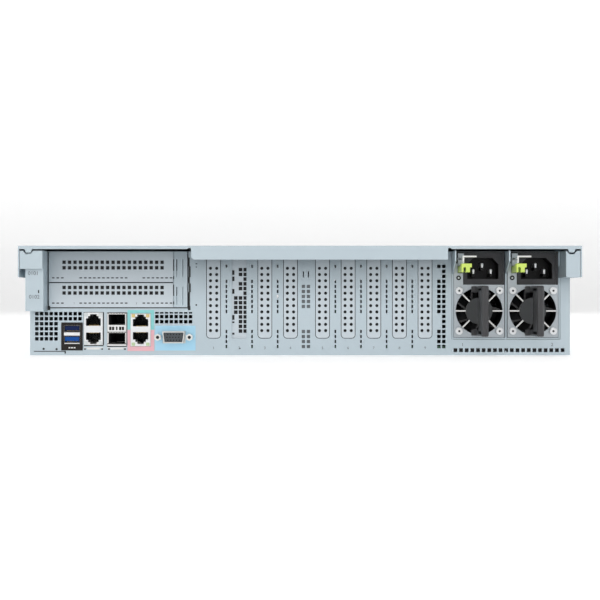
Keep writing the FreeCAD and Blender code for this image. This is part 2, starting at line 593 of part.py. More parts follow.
def boss_cover(index, place):
    """A blanking plate behind the wall with a raised, perforated boss in its window."""
    plate_back = "wall_back - clearance"
    plate_front = f"{plate_back} - sheet_gauge"
    name = f"slot_cover_{index + 1}"
    boss = "slot_window - 2 * slot_seam"
    body = plate(name, "XZ", rectangle(about(place, "cover_plate_width"),
                                       ("cover_plate_foot", "slot_top + slot_seam")),
                 plate_front, plate_back)
    low = "slot_low + slot_seam"
    raised = sketch_in(body, name + "_boss_sketch", "XZ", "rear")
    polygon(raised, rectangle(about(place, boss), (low, "slot_top - slot_seam")))
    pad = body.newObject("PartDesign::Pad", name + "_boss")
    pad.Profile = raised
    pad.setExpression("Length", named(f"rear - ({plate_front})"))
    doc.recompute()
    reach = float(doc_value(boss)) / 2
    centre = float(doc_value(place))
    edges = []
    for number, edge in enumerate(pad.Shape.Edges, 1):
        box = edge.BoundBox
        straight = box.XLength < 0.01 and box.ZLength < 0.01
        at_side = abs(abs(box.XMin - centre) - reach) < 0.01
        if straight and at_side and abs(box.ZMin - float(doc_value(low))) < 0.01:
            edges.append(f"Edge{number}")
    fillet = body.newObject("PartDesign::Fillet", name + "_corners")
    fillet.Base = (pad, edges)
    fillet.setExpression("Radius", "Sizes.slot_corner - Sizes.slot_seam")
    round_vent(body, name + "_holes", (f"{place} - boss_hole_offset", "boss_hole_low"),
               "boss_hole", ("2 * boss_hole_offset", "boss_hole_pitch"),
               ("2", "boss_hole_rows"))
    return body


def mesh_cover(place):
    """The odd slot's cover: a flat plate with a denser, uneven field of square holes."""
    name = "mesh_slot_cover"
    plate_back = "wall_back - clearance"
    body = plate(name, "XZ", rectangle(about(place, "cover_plate_width"),
                                       ("cover_plate_foot", "slot_top + slot_seam")),
                 f"{plate_back} - sheet_gauge", plate_back)
    square = ("mesh_square", "mesh_square")
    right = f"{place} - mesh_edge"
    fields = (("tall", "0", "0", "mesh_rows"), ("top", "1", "mesh_rows - 2", "2"),
              ("pair", "1", "mesh_rows - mesh_drop", "2"),
              ("low", "1", "0", "mesh_low_rows"),
              ("step", "2", "mesh_step", "mesh_step"))
    for word, column, row_index, rows in fields:
        vent(body, f"{name}_{word}", (f"{right} + {column} * mesh_pitch",
             f"mesh_low + ({row_index}) * mesh_pitch"), square, ("1", "mesh_pitch"), ("1", rows))
    return body


def riser_cover(name, low, high):
    """A flat blanking plate of the riser: two rows of squares above a row of dashes."""
    body = plate(name, "XZ", rectangle(("riser_cover_right", "riser_left - riser_seam"),
                                       (low, high)), "wall_back", "rear")
    first = "riser_hole_start - (riser_hole_count - 1) * riser_hole_pitch"
    vent(body, name + "_holes", (first, f"{low} + riser_hole_rise"),
         ("riser_hole", "riser_hole"), ("riser_hole_pitch", "riser_hole_row"),
         ("riser_hole_count", "2"))
    dash = ("riser_dash_width", "riser_dash_height")
    rise = f"{low} + riser_dash_rise"
    for word, start, count in (("a", "riser_cover_right + dash_start", "dash_count"),
                               ("b", "riser_cover_right + dash_second", "dash_second_count"),
                               ("c", "riser_left - dash_third", "dash_third_count")):
        vent(body, f"{name}_dash_{word}", (start, rise), dash, ("riser_dash_pitch", "1"),
             (count, "1"))
    return body


def slot_covers():
    """All eleven blanking plates, loose from each other."""
    parts = []
    for index, place in enumerate(SLOT_PLACES):
        parts.append(mesh_cover(place) if index == MESH_SLOT else boss_cover(index, place))
    seam = "riser_seam / 2"
    parts.append(riser_cover("riser_cover_low", "riser_low + riser_seam",
                             f"riser_split - {seam}"))
    parts.append(riser_cover("riser_cover_high", f"riser_split + {seam}", "wall_top"))
    keep("slot_covers", bundle("slot_covers", parts))


def riser_cage():
    """The bracket that carries the riser card: rear frame, side plate, roof strip and leg."""
    back = ("wall_back - clearance - sheet_gauge", "wall_back - clearance")
    near = "riser_right + riser_seam"
    frame = plate("riser_frame", "XZ",
                  rectangle((near, "riser_left - riser_seam"), ("riser_low", "wall_top")), *back)
    window = ("riser_cover_right + 2 * riser_rim", "riser_left - 2 * riser_rim")
    for word, low, high in (("low", "riser_low + riser_rim", "riser_split - riser_rim / 2"),
                            ("high", "riser_split + riser_rim / 2", "wall_top - riser_rim")):
        corners = rectangle(window, (low, high))
        pocket(frame, f"riser_window_{word}", "XZ",
               lambda sketch, shape=corners: polygon(sketch, shape))
    strip = plate("riser_strip", "XZ",
                  rectangle((near, "riser_cover_right - riser_seam"),
                            ("riser_low + riser_seam", "wall_top")), back[0], "rear")
    vent(strip, "riser_tabs", ("riser_right + slot_in", "riser_low + slot_rise"),
         ("riser_slot", "riser_slot_height"), ("riser_slot_step", "riser_slot_row"), ("2", "2"))
    long = ("rear - riser_length", back[1])
    parts = [
        frame,
        strip,
        block("riser_side", (near, f"{near} + sheet_gauge"), long, ("riser_low", "wall_top")),
        block("riser_roof", (near, "riser_left - riser_seam"),
              ("rear - riser_length", "rear - riser_length + riser_strap"),
              ("wall_top - sheet_gauge", "wall_top")),
        block("riser_floor", (near, "riser_left - riser_seam"),
              ("rear - riser_length", "rear - riser_length + riser_strap"),
              ("riser_low", "riser_low + sheet_gauge")),
        block("riser_leg", (near, f"{near} + sheet_gauge"),
              ("rear - riser_length", "rear - riser_length + riser_leg"), ("board_top", "wall_top")),
    ]
    keep("riser_cage", join("riser_cage", parts))


def riser_card():
    """An upright card with two edge slots, standing in its socket on the board."""
    left = "riser_right + card_offset"
    right = f"{left} + card_gauge"
    long = ("rear - card_setback - card_length", "rear - card_setback")
    parts = [block("riser_board", (left, right), long,
                   ("board_top + edge_slot_height / 2", "wall_top - card_top"))]
    for low in ("riser_low + card_slot_low", "riser_split + card_slot_low"):
        parts.append(block("riser_slot", (right, f"{right} + edge_slot_height"),
                           (f"{long[0]} + card_margin", f"{long[1]} - card_margin"),
                           (low, f"{low} + edge_slot_width")))
    return join("riser_card", parts)


# ---- Ports on the rear edge of the board

def jack_mouth(name, x, low, width, top_up, depth, height):
    """The stepped mouth of a network jack, its latch side up or down."""
    back = ("port_face - " + depth, "port_face + 1")
    rise = ("0", "lan_full", "lan_step", height)
    widths = (width, "lan_step_width", "lan_key_width")
    steps = []
    for index, wide in enumerate(widths):
        if top_up:
            span = (f"{low} + {rise[index]}", f"{low} + {rise[index + 1]}")
        else:
            span = (f"{low} + {height} - {rise[index + 1]}", f"{low} + {height} - {rise[index]}")
        steps.append(block(f"{name}_step", about(x, wide), back, span))
    return join(f"{name}_mouth", steps)


def lan_port_stack():
    """Two network jacks one above the other in one plated shell."""
    shell = block("lan_shell", about("lan_x", "lan_width"),
                  ("port_face - lan_length", "port_face"), ("lan_low", "lan_top"))
    mouths = [jack_mouth("lan_upper", "lan_x", "lan_upper", "lan_mouth", True, "lan_depth",
                         "lan_mouth_height"),
              jack_mouth("lan_lower", "lan_x", "lan_lower", "lan_mouth", False, "lan_depth",
                         "lan_mouth_height")]
    foot = block("lan_foot", about("lan_x", "lan_width - foot_rim"),
                 ("port_face - lan_length", "rear - lan_foot"), ("board_top", "lan_low"))
    keep("lan_port_stack", join("lan_port_stack", [cut("lan_block", shell, mouths), foot]))


def service_port_stack():
    """The service jacks, with a lamp window in each corner."""
    shell = block("service_shell", about("service_x", "service_width"),
                  ("port_face - lan_length", "port_face"), ("service_low", "service_top"))
    mouths = [jack_mouth("service_upper", "service_x", "service_upper", "service_mouth", True,
                         "lan_depth", "service_mouth_height"),
              jack_mouth("service_lower", "service_x", "service_lower", "service_mouth", False,
                         "lan_depth", "service_mouth_height")]
    keep("service_port_stack", cut("service_port_stack", shell, mouths))


def sfp_cage():
    """Two deep cages for optical modules, one above the other."""
    shell = block("sfp_shell", about("sfp_x", "sfp_width"),
                  ("port_face - sfp_length", "port_face"), ("sfp_low", "sfp_top"))
    mouths = [block("sfp_mouth", about("sfp_x", "sfp_mouth"),
                    ("port_face - sfp_depth", "port_face + 1"), (low, f"{low} + sfp_mouth_height"))
              for low in ("sfp_upper", "sfp_lower")]
    keep("sfp_cage", cut("sfp_cage", shell, mouths))


def usb_port_stack():
    """Two ports one above the other, each with a tongue in its mouth."""
    shell = block("usb_shell", about("usb_x", "usb_width"),
                  ("port_face - usb_length", "port_face"), ("usb_low", "usb_top"))
    mouths = []
    tongues = []
    for height in ("usb_upper", "usb_lower"):
        mouths.append(block("usb_mouth", about("usb_x", "usb_mouth_width"),
                            ("port_face - usb_depth", "port_face + 1"),
                            about(height, "usb_mouth_height")))
        tongues.append(block("usb_tongue", about("usb_x", "usb_mouth_width - 2"),
                             ("port_face - usb_depth", "port_face - 1"),
                             (f"{height}", f"{height} + usb_tongue")))
    keep("usb_port_stack", join("usb_port_stack", [cut("usb_block", shell, mouths)] + tongues))


def vga_port():
    """The screen port: a slanted metal shell, its insert, flange and two jack screws."""
    half = "vga_shell_height / 2"

    def slanted(inset):
        wide = f"(vga_shell / 2 - {inset})"
        low = f"(vga_shell / 2 - vga_skew - {inset})"
        return [(f"vga_x - {low}", f"vga_z - {half} + {inset}"),
                (f"vga_x + {low}", f"vga_z - {half} + {inset}"),
                (f"vga_x + {wide}", f"vga_z + {half} - {inset}"),
                (f"vga_x - {wide}", f"vga_z + {half} - {inset}")]

    back = "wall_back - clearance"
    shell = plate("vga_shell", "XZ", slanted("0"), f"{back} - 1", "rear + vga_reach")
    hollow = plate("vga_hollow", "XZ", slanted("vga_wall"), back, "rear + vga_reach + 1")
    parts = [
        cut("vga_ring", shell, [hollow]),
        plate("vga_insert", "XZ", slanted("vga_wall"), f"{back}", "rear + vga_reach - 2"),
        block("vga_flange", about("vga_x", "vga_flange"), (f"{back} - 1", back),
              about("vga_z", "vga_flange_height")),
        block("vga_body", about("vga_x", "vga_flange"), (f"{back} - vga_depth", f"{back} - 1"),
              ("board_top", "vga_z + vga_flange_height / 2")),
    ]
    for sign in ("-", "+"):
        parts.append(rod("jack_screw", "jack_radius", f"vga_x {sign} jack_spread",
                         (f"{back} - 1", "rear + jack_reach"), "vga_z"))
    keep("vga_port", join("vga_port", parts))


# ---- Board and what stands on it

def motherboard():
    """The board, notched beside the power supply cage, with the riser's card in its slot."""
    notch = "rear - board_notch - clearance - tongue_length - board_gap"
    edge = "inner - board_edge"
    right = "-(cage_in - cage_gauge - 2)"
    points = [(f"-({edge})", "-board_front"), (edge, "-board_front"), (edge, "board_rear"),
              (right, "board_rear"), (right, notch), (f"-({edge})", notch)]
    board = plate("board_sheet", "XY", points, "board_low", "board_top")
    holes = [rod("board_hole", "screw_radius + screw_fit", x, y,
                 ("board_low - 1", "board_top + 1")) for x, y in board_posts()]
    keep("motherboard", bundle("motherboard", [cut("board_drilled", board, holes),
                                               riser_card()]))


def cpu_places():
    """The middle of each processor."""
    return (("cpu_spread", "-cpu_centre"), ("-cpu_spread", "-cpu_centre"))


def module_places():
    """The middle of each memory module: a bank on both sides of each processor."""
    spots = []
    for x, y in cpu_places():
        for sign in ("-", "+"):
            for index in range(SIZES["module_count"]):
                spots.append((f"{x} {sign} (module_offset + {index} * module_pitch)", y))
    return spots


def heatsinks():
    """Two finned blocks, each on a base plate over its processor."""
    sinks = []
    for index, (x, y) in enumerate(cpu_places()):
        low = "board_top + cpu_height"
        span = about(y, "sink_length")
        body = plate(f"sink_{index + 1}", "XY", rectangle(about(x, "sink_width"), span), low,
                     f"{low} + sink_height")
        gap = "fin_pitch - fin_gauge"
        first = f"{x} - (fin_count - 1) * fin_pitch / 2"
        slot = sketch_in(body, f"sink_gap_{index + 1}", "XZ", f"({y}) + sink_length / 2 + 1")
        polygon(slot, rectangle(about(first, gap), (f"{low} + sink_base",
                                                    f"{low} + sink_height + 1")))
        hole = body.newObject("PartDesign::Pocket", f"sink_slot_{index + 1}")
        hole.Profile = slot
        hole.Type = "ThroughAll"
        hole.SideType = "Symmetric"
        hole.Refine = False
        repeat(body, hole, ("fin_pitch", "1"), ("fin_count", "1"))
        sinks.append(body)
    keep("heatsinks", bundle("heatsinks", sinks))


def memory_modules():
    """Sixteen memory modules standing in their sockets."""
    low = "board_top + 2"
    modules = [block("memory_module", about(x, "module_gauge"), about(y, "module_length"),
                     (low, f"{low} + module_height")) for x, y in module_places()]
    keep("memory_modules", bundle("memory_modules", modules))


def board_sockets():
    """Sockets for processors, memory, expansion cards and the riser card."""
    low = "board_top"
    parts = []
    for x, y in cpu_places():
        parts.append(block("cpu_socket", about(x, "cpu_size"), about(y, "cpu_size"),
                           (low, f"{low} + cpu_height")))
    for index, (x, y) in enumerate(module_places()):
        base = block("memory_socket", about(x, "socket_width"), about(y, "socket_length"),
                     (low, f"{low} + socket_height"))
        slot = block("memory_slot", about(x, "module_gauge + clearance"),
                     about(y, "module_length + clearance"),
                     (f"{low} + 2 - clearance / 2", f"{low} + socket_height + 1"))
        parts.append(cut(f"memory_socket_{index + 1}", base, [slot]))
    rear_end = "rear - slot_socket_setback"
    for place in SLOT_PLACES:
        parts.append(block("card_socket", about(place, "edge_slot_width"),
                           (f"{rear_end} - slot_socket_length", rear_end),
                           (low, f"{low} + edge_slot_height")))
    left = "riser_right + card_offset"
    socket = block("riser_socket", (f"{left} - socket_wall", f"{left} + card_gauge + socket_wall"),
                   ("rear - card_setback - card_length - socket_over",
                    "rear - card_setback + socket_over"),
                   (low, f"{low} + edge_slot_height"))
    slot = block("riser_socket_slot",
                 (f"{left} - clearance / 2", f"{left} + card_gauge + clearance / 2"),
                 ("rear - card_setback - card_length - 1", "rear - card_setback + 1"),
                 (f"{low} + edge_slot_height / 2 - clearance / 2", f"{low} + edge_slot_height + 1"))
    parts.append(cut("riser_socket_cut", socket, [slot]))
    keep("board_sockets", bundle("board_sockets", parts))


def air_duct():
    """A shroud that leads the fans' air over the processors, open at both ends."""
    long = ("duct_gap - board_front", "duct_gap - board_front + duct_length")
    roof = ("duct_top - duct_gauge", "duct_top")
    upright = ("board_top + clearance", "duct_top")
    parts = [block("duct_roof", ("-duct_half_width", "duct_half_width"), long, roof),
             block("duct_middle", about("0", "duct_gauge"), long, upright)]
    for word, sign in (("left", 1), ("right", -1)):
        parts.append(block(f"duct_{word}", across(sign, "duct_half_width - duct_gauge",
                                                  "duct_half_width"), long, upright))
    keep("air_duct", join("air_duct", parts))


# ---- Fans

FAN_PLACES = [f"({index} - (fan_count - 1) / 2) * fan_pitch"
              for index in range(SIZES["fan_count"])]


def fan_wall():
    """A wall across the tub with a round window for each fan and a shelf under them."""
    wall = ("fan_front - clearance - sheet_gauge", "fan_front - clearance")
    body = plate("fan_sheet", "XZ", rectangle(("-(inner - clearance)", "inner - clearance"),
                                              ("sheet_gauge", "duct_top + duct_gap")), *wall)
    round_vent(body, "fan_windows", (FAN_PLACES[0], "fan_z"), "fan_bore",
               ("fan_pitch", "1"), ("fan_count", "1"))
    shelf = block("fan_shelf", ("-(inner - clearance)", "inner - clearance"),
                  (wall[0], "fan_back"), ("sheet_gauge", "fan_low - clearance"))
    keep("fan_wall", join("fan_wall", [body, shelf]))


def fan_frames():
    """Four square fan frames, each with a motor plate on three struts and an axle."""
    frames = []
    for index, x in enumerate(FAN_PLACES):
        frame = block("fan_block", about(x, "fan_size"), ("fan_front", "fan_back"),
                      ("fan_low", "fan_low + fan_size"))
        hollow = cut(f"fan_ring_{index + 1}", frame,
                     [rod("fan_hole", "fan_bore", x, ("fan_front - 1", "fan_back + 1"), "fan_z")])
        struts = [
            rod("motor_plate", "fan_hub", x, ("fan_back - strut_width", "fan_back"), "fan_z"),
            block("strut", about(x, "strut_width"), ("fan_back - strut_width", "fan_back"),
                  ("fan_low + 1", "fan_low + fan_size - 1")),
            block("strut", about(x, "fan_size - 2"), ("fan_back - strut_width", "fan_back"),
                  about("fan_z", "strut_width")),
            rod("axle", "fan_axle", x, ("fan_front + axle_inset", "fan_back - 1"), "fan_z"),
        ]
        frames.append(join(f"fan_frame_{index + 1}", [hollow] + struts))
    keep("fan_frames", bundle("fan_frames", frames))


def rotor(name, x, z, front, back, hub, blade, gauge, count, axle):
    """A hub with slanted blades, built about its own axis and then put in place."""
    body = doc.addObject("PartDesign::Body", name)
    disc = sketch_in(body, name + "_hub_sketch", "XZ", f"(({back}) - ({front})) / 2")
    circle(disc, "0", "0", hub)
    pad = body.newObject("PartDesign::Pad", name + "_hub")
    pad.Profile = disc
    pad.setExpression("Length", named(f"({back}) - ({front})"))
    slant = f"(({back}) - ({front})) * blade_twist"
    lean = f"({hub}) * blade_lean"
    edge = sketch_in(body, name + "_blade_sketch", "XY", f"({hub}) - blade_root")
    polygon(edge, [(f"-{lean}", f"-{slant}"), (f"-{lean} + blade_foot * ({gauge})", f"-{slant}"),
                   (lean, slant), (f"{lean} - blade_foot * ({gauge})", slant)])
    vane = body.newObject("PartDesign::Pad", name + "_blade")
    vane.Profile = edge
    reach = f"sqrt(({blade}) ^ 2 - ({lean}) ^ 2)"
    vane.setExpression("Length", named(f"{reach} - ({hub}) + blade_root"))
    doc.recompute()
    ring = body.newObject("PartDesign::PolarPattern", name + "_blades")
    ring.Originals = [vane]
    turn = next(item for item in body.Origin.OriginFeatures if item.Role == "Y_Axis")
    ring.Axis = (turn, [""])
    ring.Angle = 360
    ring.setExpression("Occurrences", named(count))
    body.Tip = ring
    if axle:
        pocket(body, name + "_bore", "XZ", lambda sketch: circle(sketch, "0", "0", axle))
    body.setExpression("Placement.Base.x", named(x))
    body.setExpression("Placement.Base.y", named(f"(({back}) + ({front})) / 2"))
    body.setExpression("Placement.Base.z", named(z))
    return keep(name, body)


def fan_rotors():
    """The four rotors, each on its frame's axle."""
    for index, x in enumerate(FAN_PLACES):
        rotor(f"fan_rotor_{index + 1}", x, "fan_z", "fan_front + axle_inset / 2",
              "fan_back - strut_width - 2 * clearance", "fan_hub", "fan_bore - fan_blade_gap",
              "fan_blade_gauge", "blade_count", "fan_axle + axle_fit")


# ---- Power supplies and their cage

PSU_PLACES = ("-(psu_outer - psu_pitch)", "-psu_outer")


def wing(name, low, high):
    """An upright sheet of the cage whose rear end stands out and slants back below."""
    points = [("cage_front", "sheet_gauge"), ("wall_back - clearance", "sheet_gauge"),
              ("wall_back - clearance", "cage_floor"), ("rear", "cage_floor"),
              ("rear", "wing_low"), ("rear + wing_reach", "wing_low + wing_slant"),
              ("rear + wing_reach", "wall_top"), ("cage_front", "wall_top")]
    return plate(name, "YZ", points, low, high)


def psu_cage():
    """Floor, three wings, roof and the distribution board with its two sockets."""
    near = "-(cage_in - cage_gauge)"
    far = "-cage_out"
    long = ("cage_front", "rear")
    socket = ("cage_front + card_gauge", "psu_front - 1")
    parts = [
        block("cage_deck", (far, near), long, ("cage_floor", "cage_floor + cage_gauge")),
        wing("cage_near", "-cage_in", near),
        wing("cage_middle", "-(cage_mid + cage_gauge / 2)", "-(cage_mid - cage_gauge / 2)"),
        block("cage_far", (far, "-(cage_out - cage_gauge)"), long, ("cage_floor", "wall_top")),
        block("cage_board", (far, near), ("cage_front", "cage_front + card_gauge"),
              ("cage_floor", "wall_top")),
    ]
    for index, x in enumerate(PSU_PLACES):
        base = block("cage_socket", about(x, "psu_width - dock_low"), socket,
                     ("psu_low + dock_low", "psu_low + dock_top"))
        slot = block("cage_slot", about(x, "psu_width - dock_slot"),
                     ("psu_front - tongue_length - clearance", "psu_front"),
                     about("psu_low + dock_middle", "card_gauge + 2 * clearance"))
        parts.append(cut(f"cage_socket_{index + 1}", base, [slot]))
    keep("psu_cage", join("psu_cage", parts))


def psu_case(name, x):
    """A sheet-metal can with a rear face, an edge connector, and the cord wire's knuckles."""
    outer = block("psu_can", about(x, "psu_width"), ("psu_front", "rear"),
                  ("psu_low", "psu_top"))
    hollow = block("psu_hollow", about(x, "psu_width - 2 * psu_wall"),
                   ("psu_front + psu_wall", "rear - psu_face"),
                   ("psu_low + psu_wall", "psu_top - psu_wall"))
    face = ("rear - psu_face - 1", "rear + 1")
    inlet_x = f"{x} - inlet_shift"
    latch_x = f"{x} + pull_latch_offset"
    openings = [
        hollow,
        rod("psu_fan_hole", "psu_bore", x, face, "psu_low + psu_fan_rise"),
        block("inlet_window", about(inlet_x, "inlet_width + 2 * port_gap"), face,
              ("psu_low + inlet_low - port_gap",
               "psu_low + inlet_low + inlet_height + port_gap")),
        block("latch_window", (f"{latch_x} - pull_latch_gauge - pull_play", f"{latch_x} + clearance"),
              face, about("psu_low + pull_latch_low + pull_latch_height / 2",
                          "pull_latch_height + 2 * clearance")),
        rod("lamp_hole", "lamp_radius", f"{x} + lamp_offset", face, "psu_low + lamp_rise"),
        block("psu_front_vent", about(x, "psu_width - intake_rim"),
              ("psu_front - 1", "psu_front + psu_wall + 1"),
              ("psu_low + intake_low", "psu_top - intake_top")),
    ]
    can = cut(f"{name}_can", outer, openings)
    knuckle = block("knuckle", about(f"{x} + knuckle_offset", "knuckle_width"),
                    ("rear", "rear + knuckle_depth"),
                    ("psu_low + knuckle_low", "psu_low + knuckle_low + knuckle_height"))
    gap = block("knuckle_gap", about(f"{x} + knuckle_offset", "knuckle_width + 2"),
                ("rear + knuckle_depth / 2 - 2 * wire_radius", "rear + knuckle_depth + 1"),
                about("psu_low + knuckle_low + knuckle_height / 2",
                      "2 * wire_radius + 2 * wire_fit"))
    bore = rod("knuckle_bore", "wire_radius + wire_fit", f"{x} + knuckle_offset",
               "rear + knuckle_depth / 2",
               ("psu_low + knuckle_low - 1", "psu_low + knuckle_low + knuckle_height + 1"))
    tongue = block("edge_connector", about(x, "psu_width - edge_rim"),
                   ("psu_front - tongue_length", "psu_front + psu_wall"),
                   about("psu_low + dock_middle", "card_gauge"))
    boss = block("latch_boss", (f"{latch_x} + pull_latch_gauge", f"{x} + psu_width / 2"),
                 about("rear - pull_latch_root", "pull_boss"),
                 about("psu_low + pull_latch_low + pull_latch_height / 2", "pull_latch_height"))
    parts = [can, cut(f"{name}_knuckles", knuckle, [gap, bore]), tongue, boss]
    keep(name, join(name, parts))


def psu_inlet(name, x):
    """The mains inlet: a block with a chamfered socket and three blades."""
    middle = f"{x} - inlet_shift"
    low = "psu_low + inlet_low"
    back = ("rear - inlet_depth", "rear + inlet_proud")
    body = block("inlet_block", about(middle, "inlet_width"), back,
                 (low, f"{low} + inlet_height"))
    floor = f"{low} + inlet_mouth_rise"
    roof = f"{floor} + inlet_mouth_height"
    half = "inlet_mouth / 2"
    mouth = plate(name + "_mouth", "XZ", [
        (f"{middle} - {half}", floor), (f"{middle} + {half}", floor),
        (f"{middle} + {half}", f"{roof} - inlet_chamfer"),
        (f"{middle} + {half} - inlet_chamfer", roof),
        (f"{middle} - {half} + inlet_chamfer", roof),
        (f"{middle} - {half}", f"{roof} - inlet_chamfer")],
        "rear + inlet_proud - inlet_mouth_depth", "rear + inlet_proud + 1")
    root = ("rear + inlet_proud - inlet_mouth_depth - 2",
            "rear + inlet_proud - inlet_mouth_depth + pin_length")
    parts = [cut(f"{name}_socket", body, [mouth])]
    for shift, rise in (("-pin_spread", "0"), ("0", "pin_rise"), ("pin_spread", "0")):
        parts.append(block("inlet_blade", about(f"{middle} + {shift}", "pin_width"), root,
                           about(f"{floor} + pin_low + {rise}", "pin_height")))
    keep(name, join(name, parts))


def psu_guard(name, x):
    """The fan's housing with its motor plate, finger guard spokes and four screws."""
    z = "psu_low + psu_fan_rise"
    back = "rear - psu_face - hairline"
    front = f"{back} - psu_fan_depth"
    housing = block("fan_housing", about(x, "psu_fan_block"), (front, back),
                    about(z, "psu_fan_block"))
    bored = cut(f"{name}_housing", housing,
                [rod("housing_bore", "psu_bore", x, (f"{front} - 1", "rear"), z)])
    hub = rod("guard_hub", "psu_hub", x, (f"{back} - 2", "rear - hairline"), z)
    spokes = []
    for index in (0, 1, 3):
        bar = doc.addObject("Part::Box", "spoke")
        bar.setExpression("Length", named("2 * psu_bore + 2 * spoke_over"))
        bar.setExpression("Width", named(f"rear - hairline - ({back} - 2)"))
        bar.setExpression("Height", named("spoke_width"))
        bar.setExpression("Placement.Base.x", named("-psu_bore - spoke_over"))
        bar.setExpression("Placement.Base.z", named("-spoke_width / 2"))
        turned = doc.addObject("Part::Compound", "spoke_turned")
        turned.Links = [bar]
        turned.Placement.Rotation = FreeCAD.Rotation(FreeCAD.Vector(0, 1, 0),
                                                        SIZES["spoke_turn"] * index)
        turned.setExpression("Placement.Base.x", named(x))
        turned.setExpression("Placement.Base.y", named(f"{back} - 2"))
        turned.setExpression("Placement.Base.z", named(z))
        spokes.append(turned)
    trimmed = rod("guard_trim", "psu_bore - hairline", x, (f"{back} - 2", "rear"), z)
    guard = doc.addObject("Part::MultiCommon", f"{name}_spokes")
    guard.Shapes = [join(f"{name}_star", [hub] + spokes), trimmed]
    legs = [block("guard_leg", about(x, "psu_fan_block"), (f"{back} - 2", back),
                  about(z, "spoke_width"))]
    solids = [join(f"{name}_frame", [bored, guard] + legs)]
    for shift in ("-", "+"):
        for rise in ("-", "+"):
            solids.append(rod("guard_screw", "pan_radius", f"{x} {shift} screw_spread",
                              ("rear", "rear + pan_height"), f"{z} {rise} screw_spread"))
    keep(name, bundle(name, solids))


def psu_rotor(name, x):
    """The power supply's fan rotor, behind the motor plate."""
    back = "rear - psu_face - hairline - 2 - blade_gap"
    rotor(name, x, "psu_low + psu_fan_rise", f"{back} - psu_fan_depth + rotor_inset", back,
          "psu_hub - 1", "psu_bore - blade_gap", "blade_gauge", "blade_count", None)


def psu_handle(name, x):
    """An upright pull handle on two feet, standing well clear of the face."""
    z = "psu_low + psu_fan_rise"
    outer = ("rear + handle_reach - grip_gauge", "rear + handle_reach")
    tall = about(z, "grip_height")
    ends = ((f"{tall[0]}", f"{tall[0]} + grip_arm"), (f"{tall[1]} - grip_arm", f"{tall[1]}"))
    parts = [block("grip", about(x, "grip_width"), outer, tall)]
    for end in ends:
        parts.append(block("grip_arm", about(x, "grip_width"),
                           ("rear + hairline", "rear + handle_reach"), end))
        parts.append(block("grip_foot", about(x, "grip_base"),
                           ("rear + hairline", "rear + hairline + grip_base_gauge"),
                           end))
    keep(name, join(name, parts))


def psu_latch(name, x):
    """A springy release arm with a T-shaped thumb tab outside the face."""
    right = f"{x} + pull_latch_offset"
    low = "psu_low + pull_latch_low"
    high = f"{low} + pull_latch_height"
    tip = ("rear + pull_latch_reach - pull_bar_depth", "rear + pull_latch_reach")
    stem = f"{right} - pull_latch_gauge"
    bar_low = f"{low} + pull_bar_rise"
    parts = [
        block("latch_arm", (stem, right), ("rear - pull_latch_root", tip[1]), (low, high)),
        block("latch_stem", (f"{stem} - pull_stem_far", f"{stem} - pull_stem_near"), tip,
              (low, high)),
        block("latch_bar", (f"{stem} - pull_bar_width", right), tip,
              (bar_low, f"{bar_low} + pull_bar_height")),
        rod("latch_root", "pull_latch_gauge", f"{right} - pull_latch_gauge / 2",
            "rear - pull_latch_root", (low, high)),
    ]
    keep(name, join(name, parts))


def psu_retainer(name, x):
    """The cord wire: a pivot in the knuckles, an arm, and an angled end over the plug."""
    pivot_x = f"{x} + knuckle_offset"
    pivot_y = "rear + knuckle_depth / 2"
    middle = "psu_low + knuckle_low + knuckle_height / 2"
    end = f"{pivot_y} + wire_reach"
    top = f"{middle} + wire_rise"
    parts = [
        rod("wire_pivot", "wire_radius", pivot_x, pivot_y,
            ("psu_low + knuckle_low", "psu_low + knuckle_low + knuckle_height")),
        rod("wire_arm", "wire_radius", pivot_x, (pivot_y, f"{end} + wire_radius"), middle),
        rod("wire_upright", "wire_radius", pivot_x, end,
            (f"{middle} - wire_drop", f"{top} + wire_radius")),
        rod("wire_end", "wire_radius", (f"{pivot_x} - wire_arm", f"{pivot_x} + wire_radius"),
            end, top),
    ]
    keep(name, join(name, parts))


def power_supplies():
    """Both power supplies, piece by piece."""
    for index, x in enumerate(PSU_PLACES):
        name = f"psu_{index + 1}"
        psu_case(f"{name}_case", x)
        psu_inlet(f"{name}_inlet", x)
        psu_guard(f"{name}_guard", x)
        psu_rotor(f"{name}_rotor", x)
        psu_handle(f"{name}_handle", x)
        psu_latch(f"{name}_latch", x)
        psu_retainer(f"{name}_retainer", x)


# ---- Drives at the front

BAY_PLACES = [f"({index} - (bay_count - 1) / 2) * bay_pitch"
              for index in range(SIZES["bay_count"])]


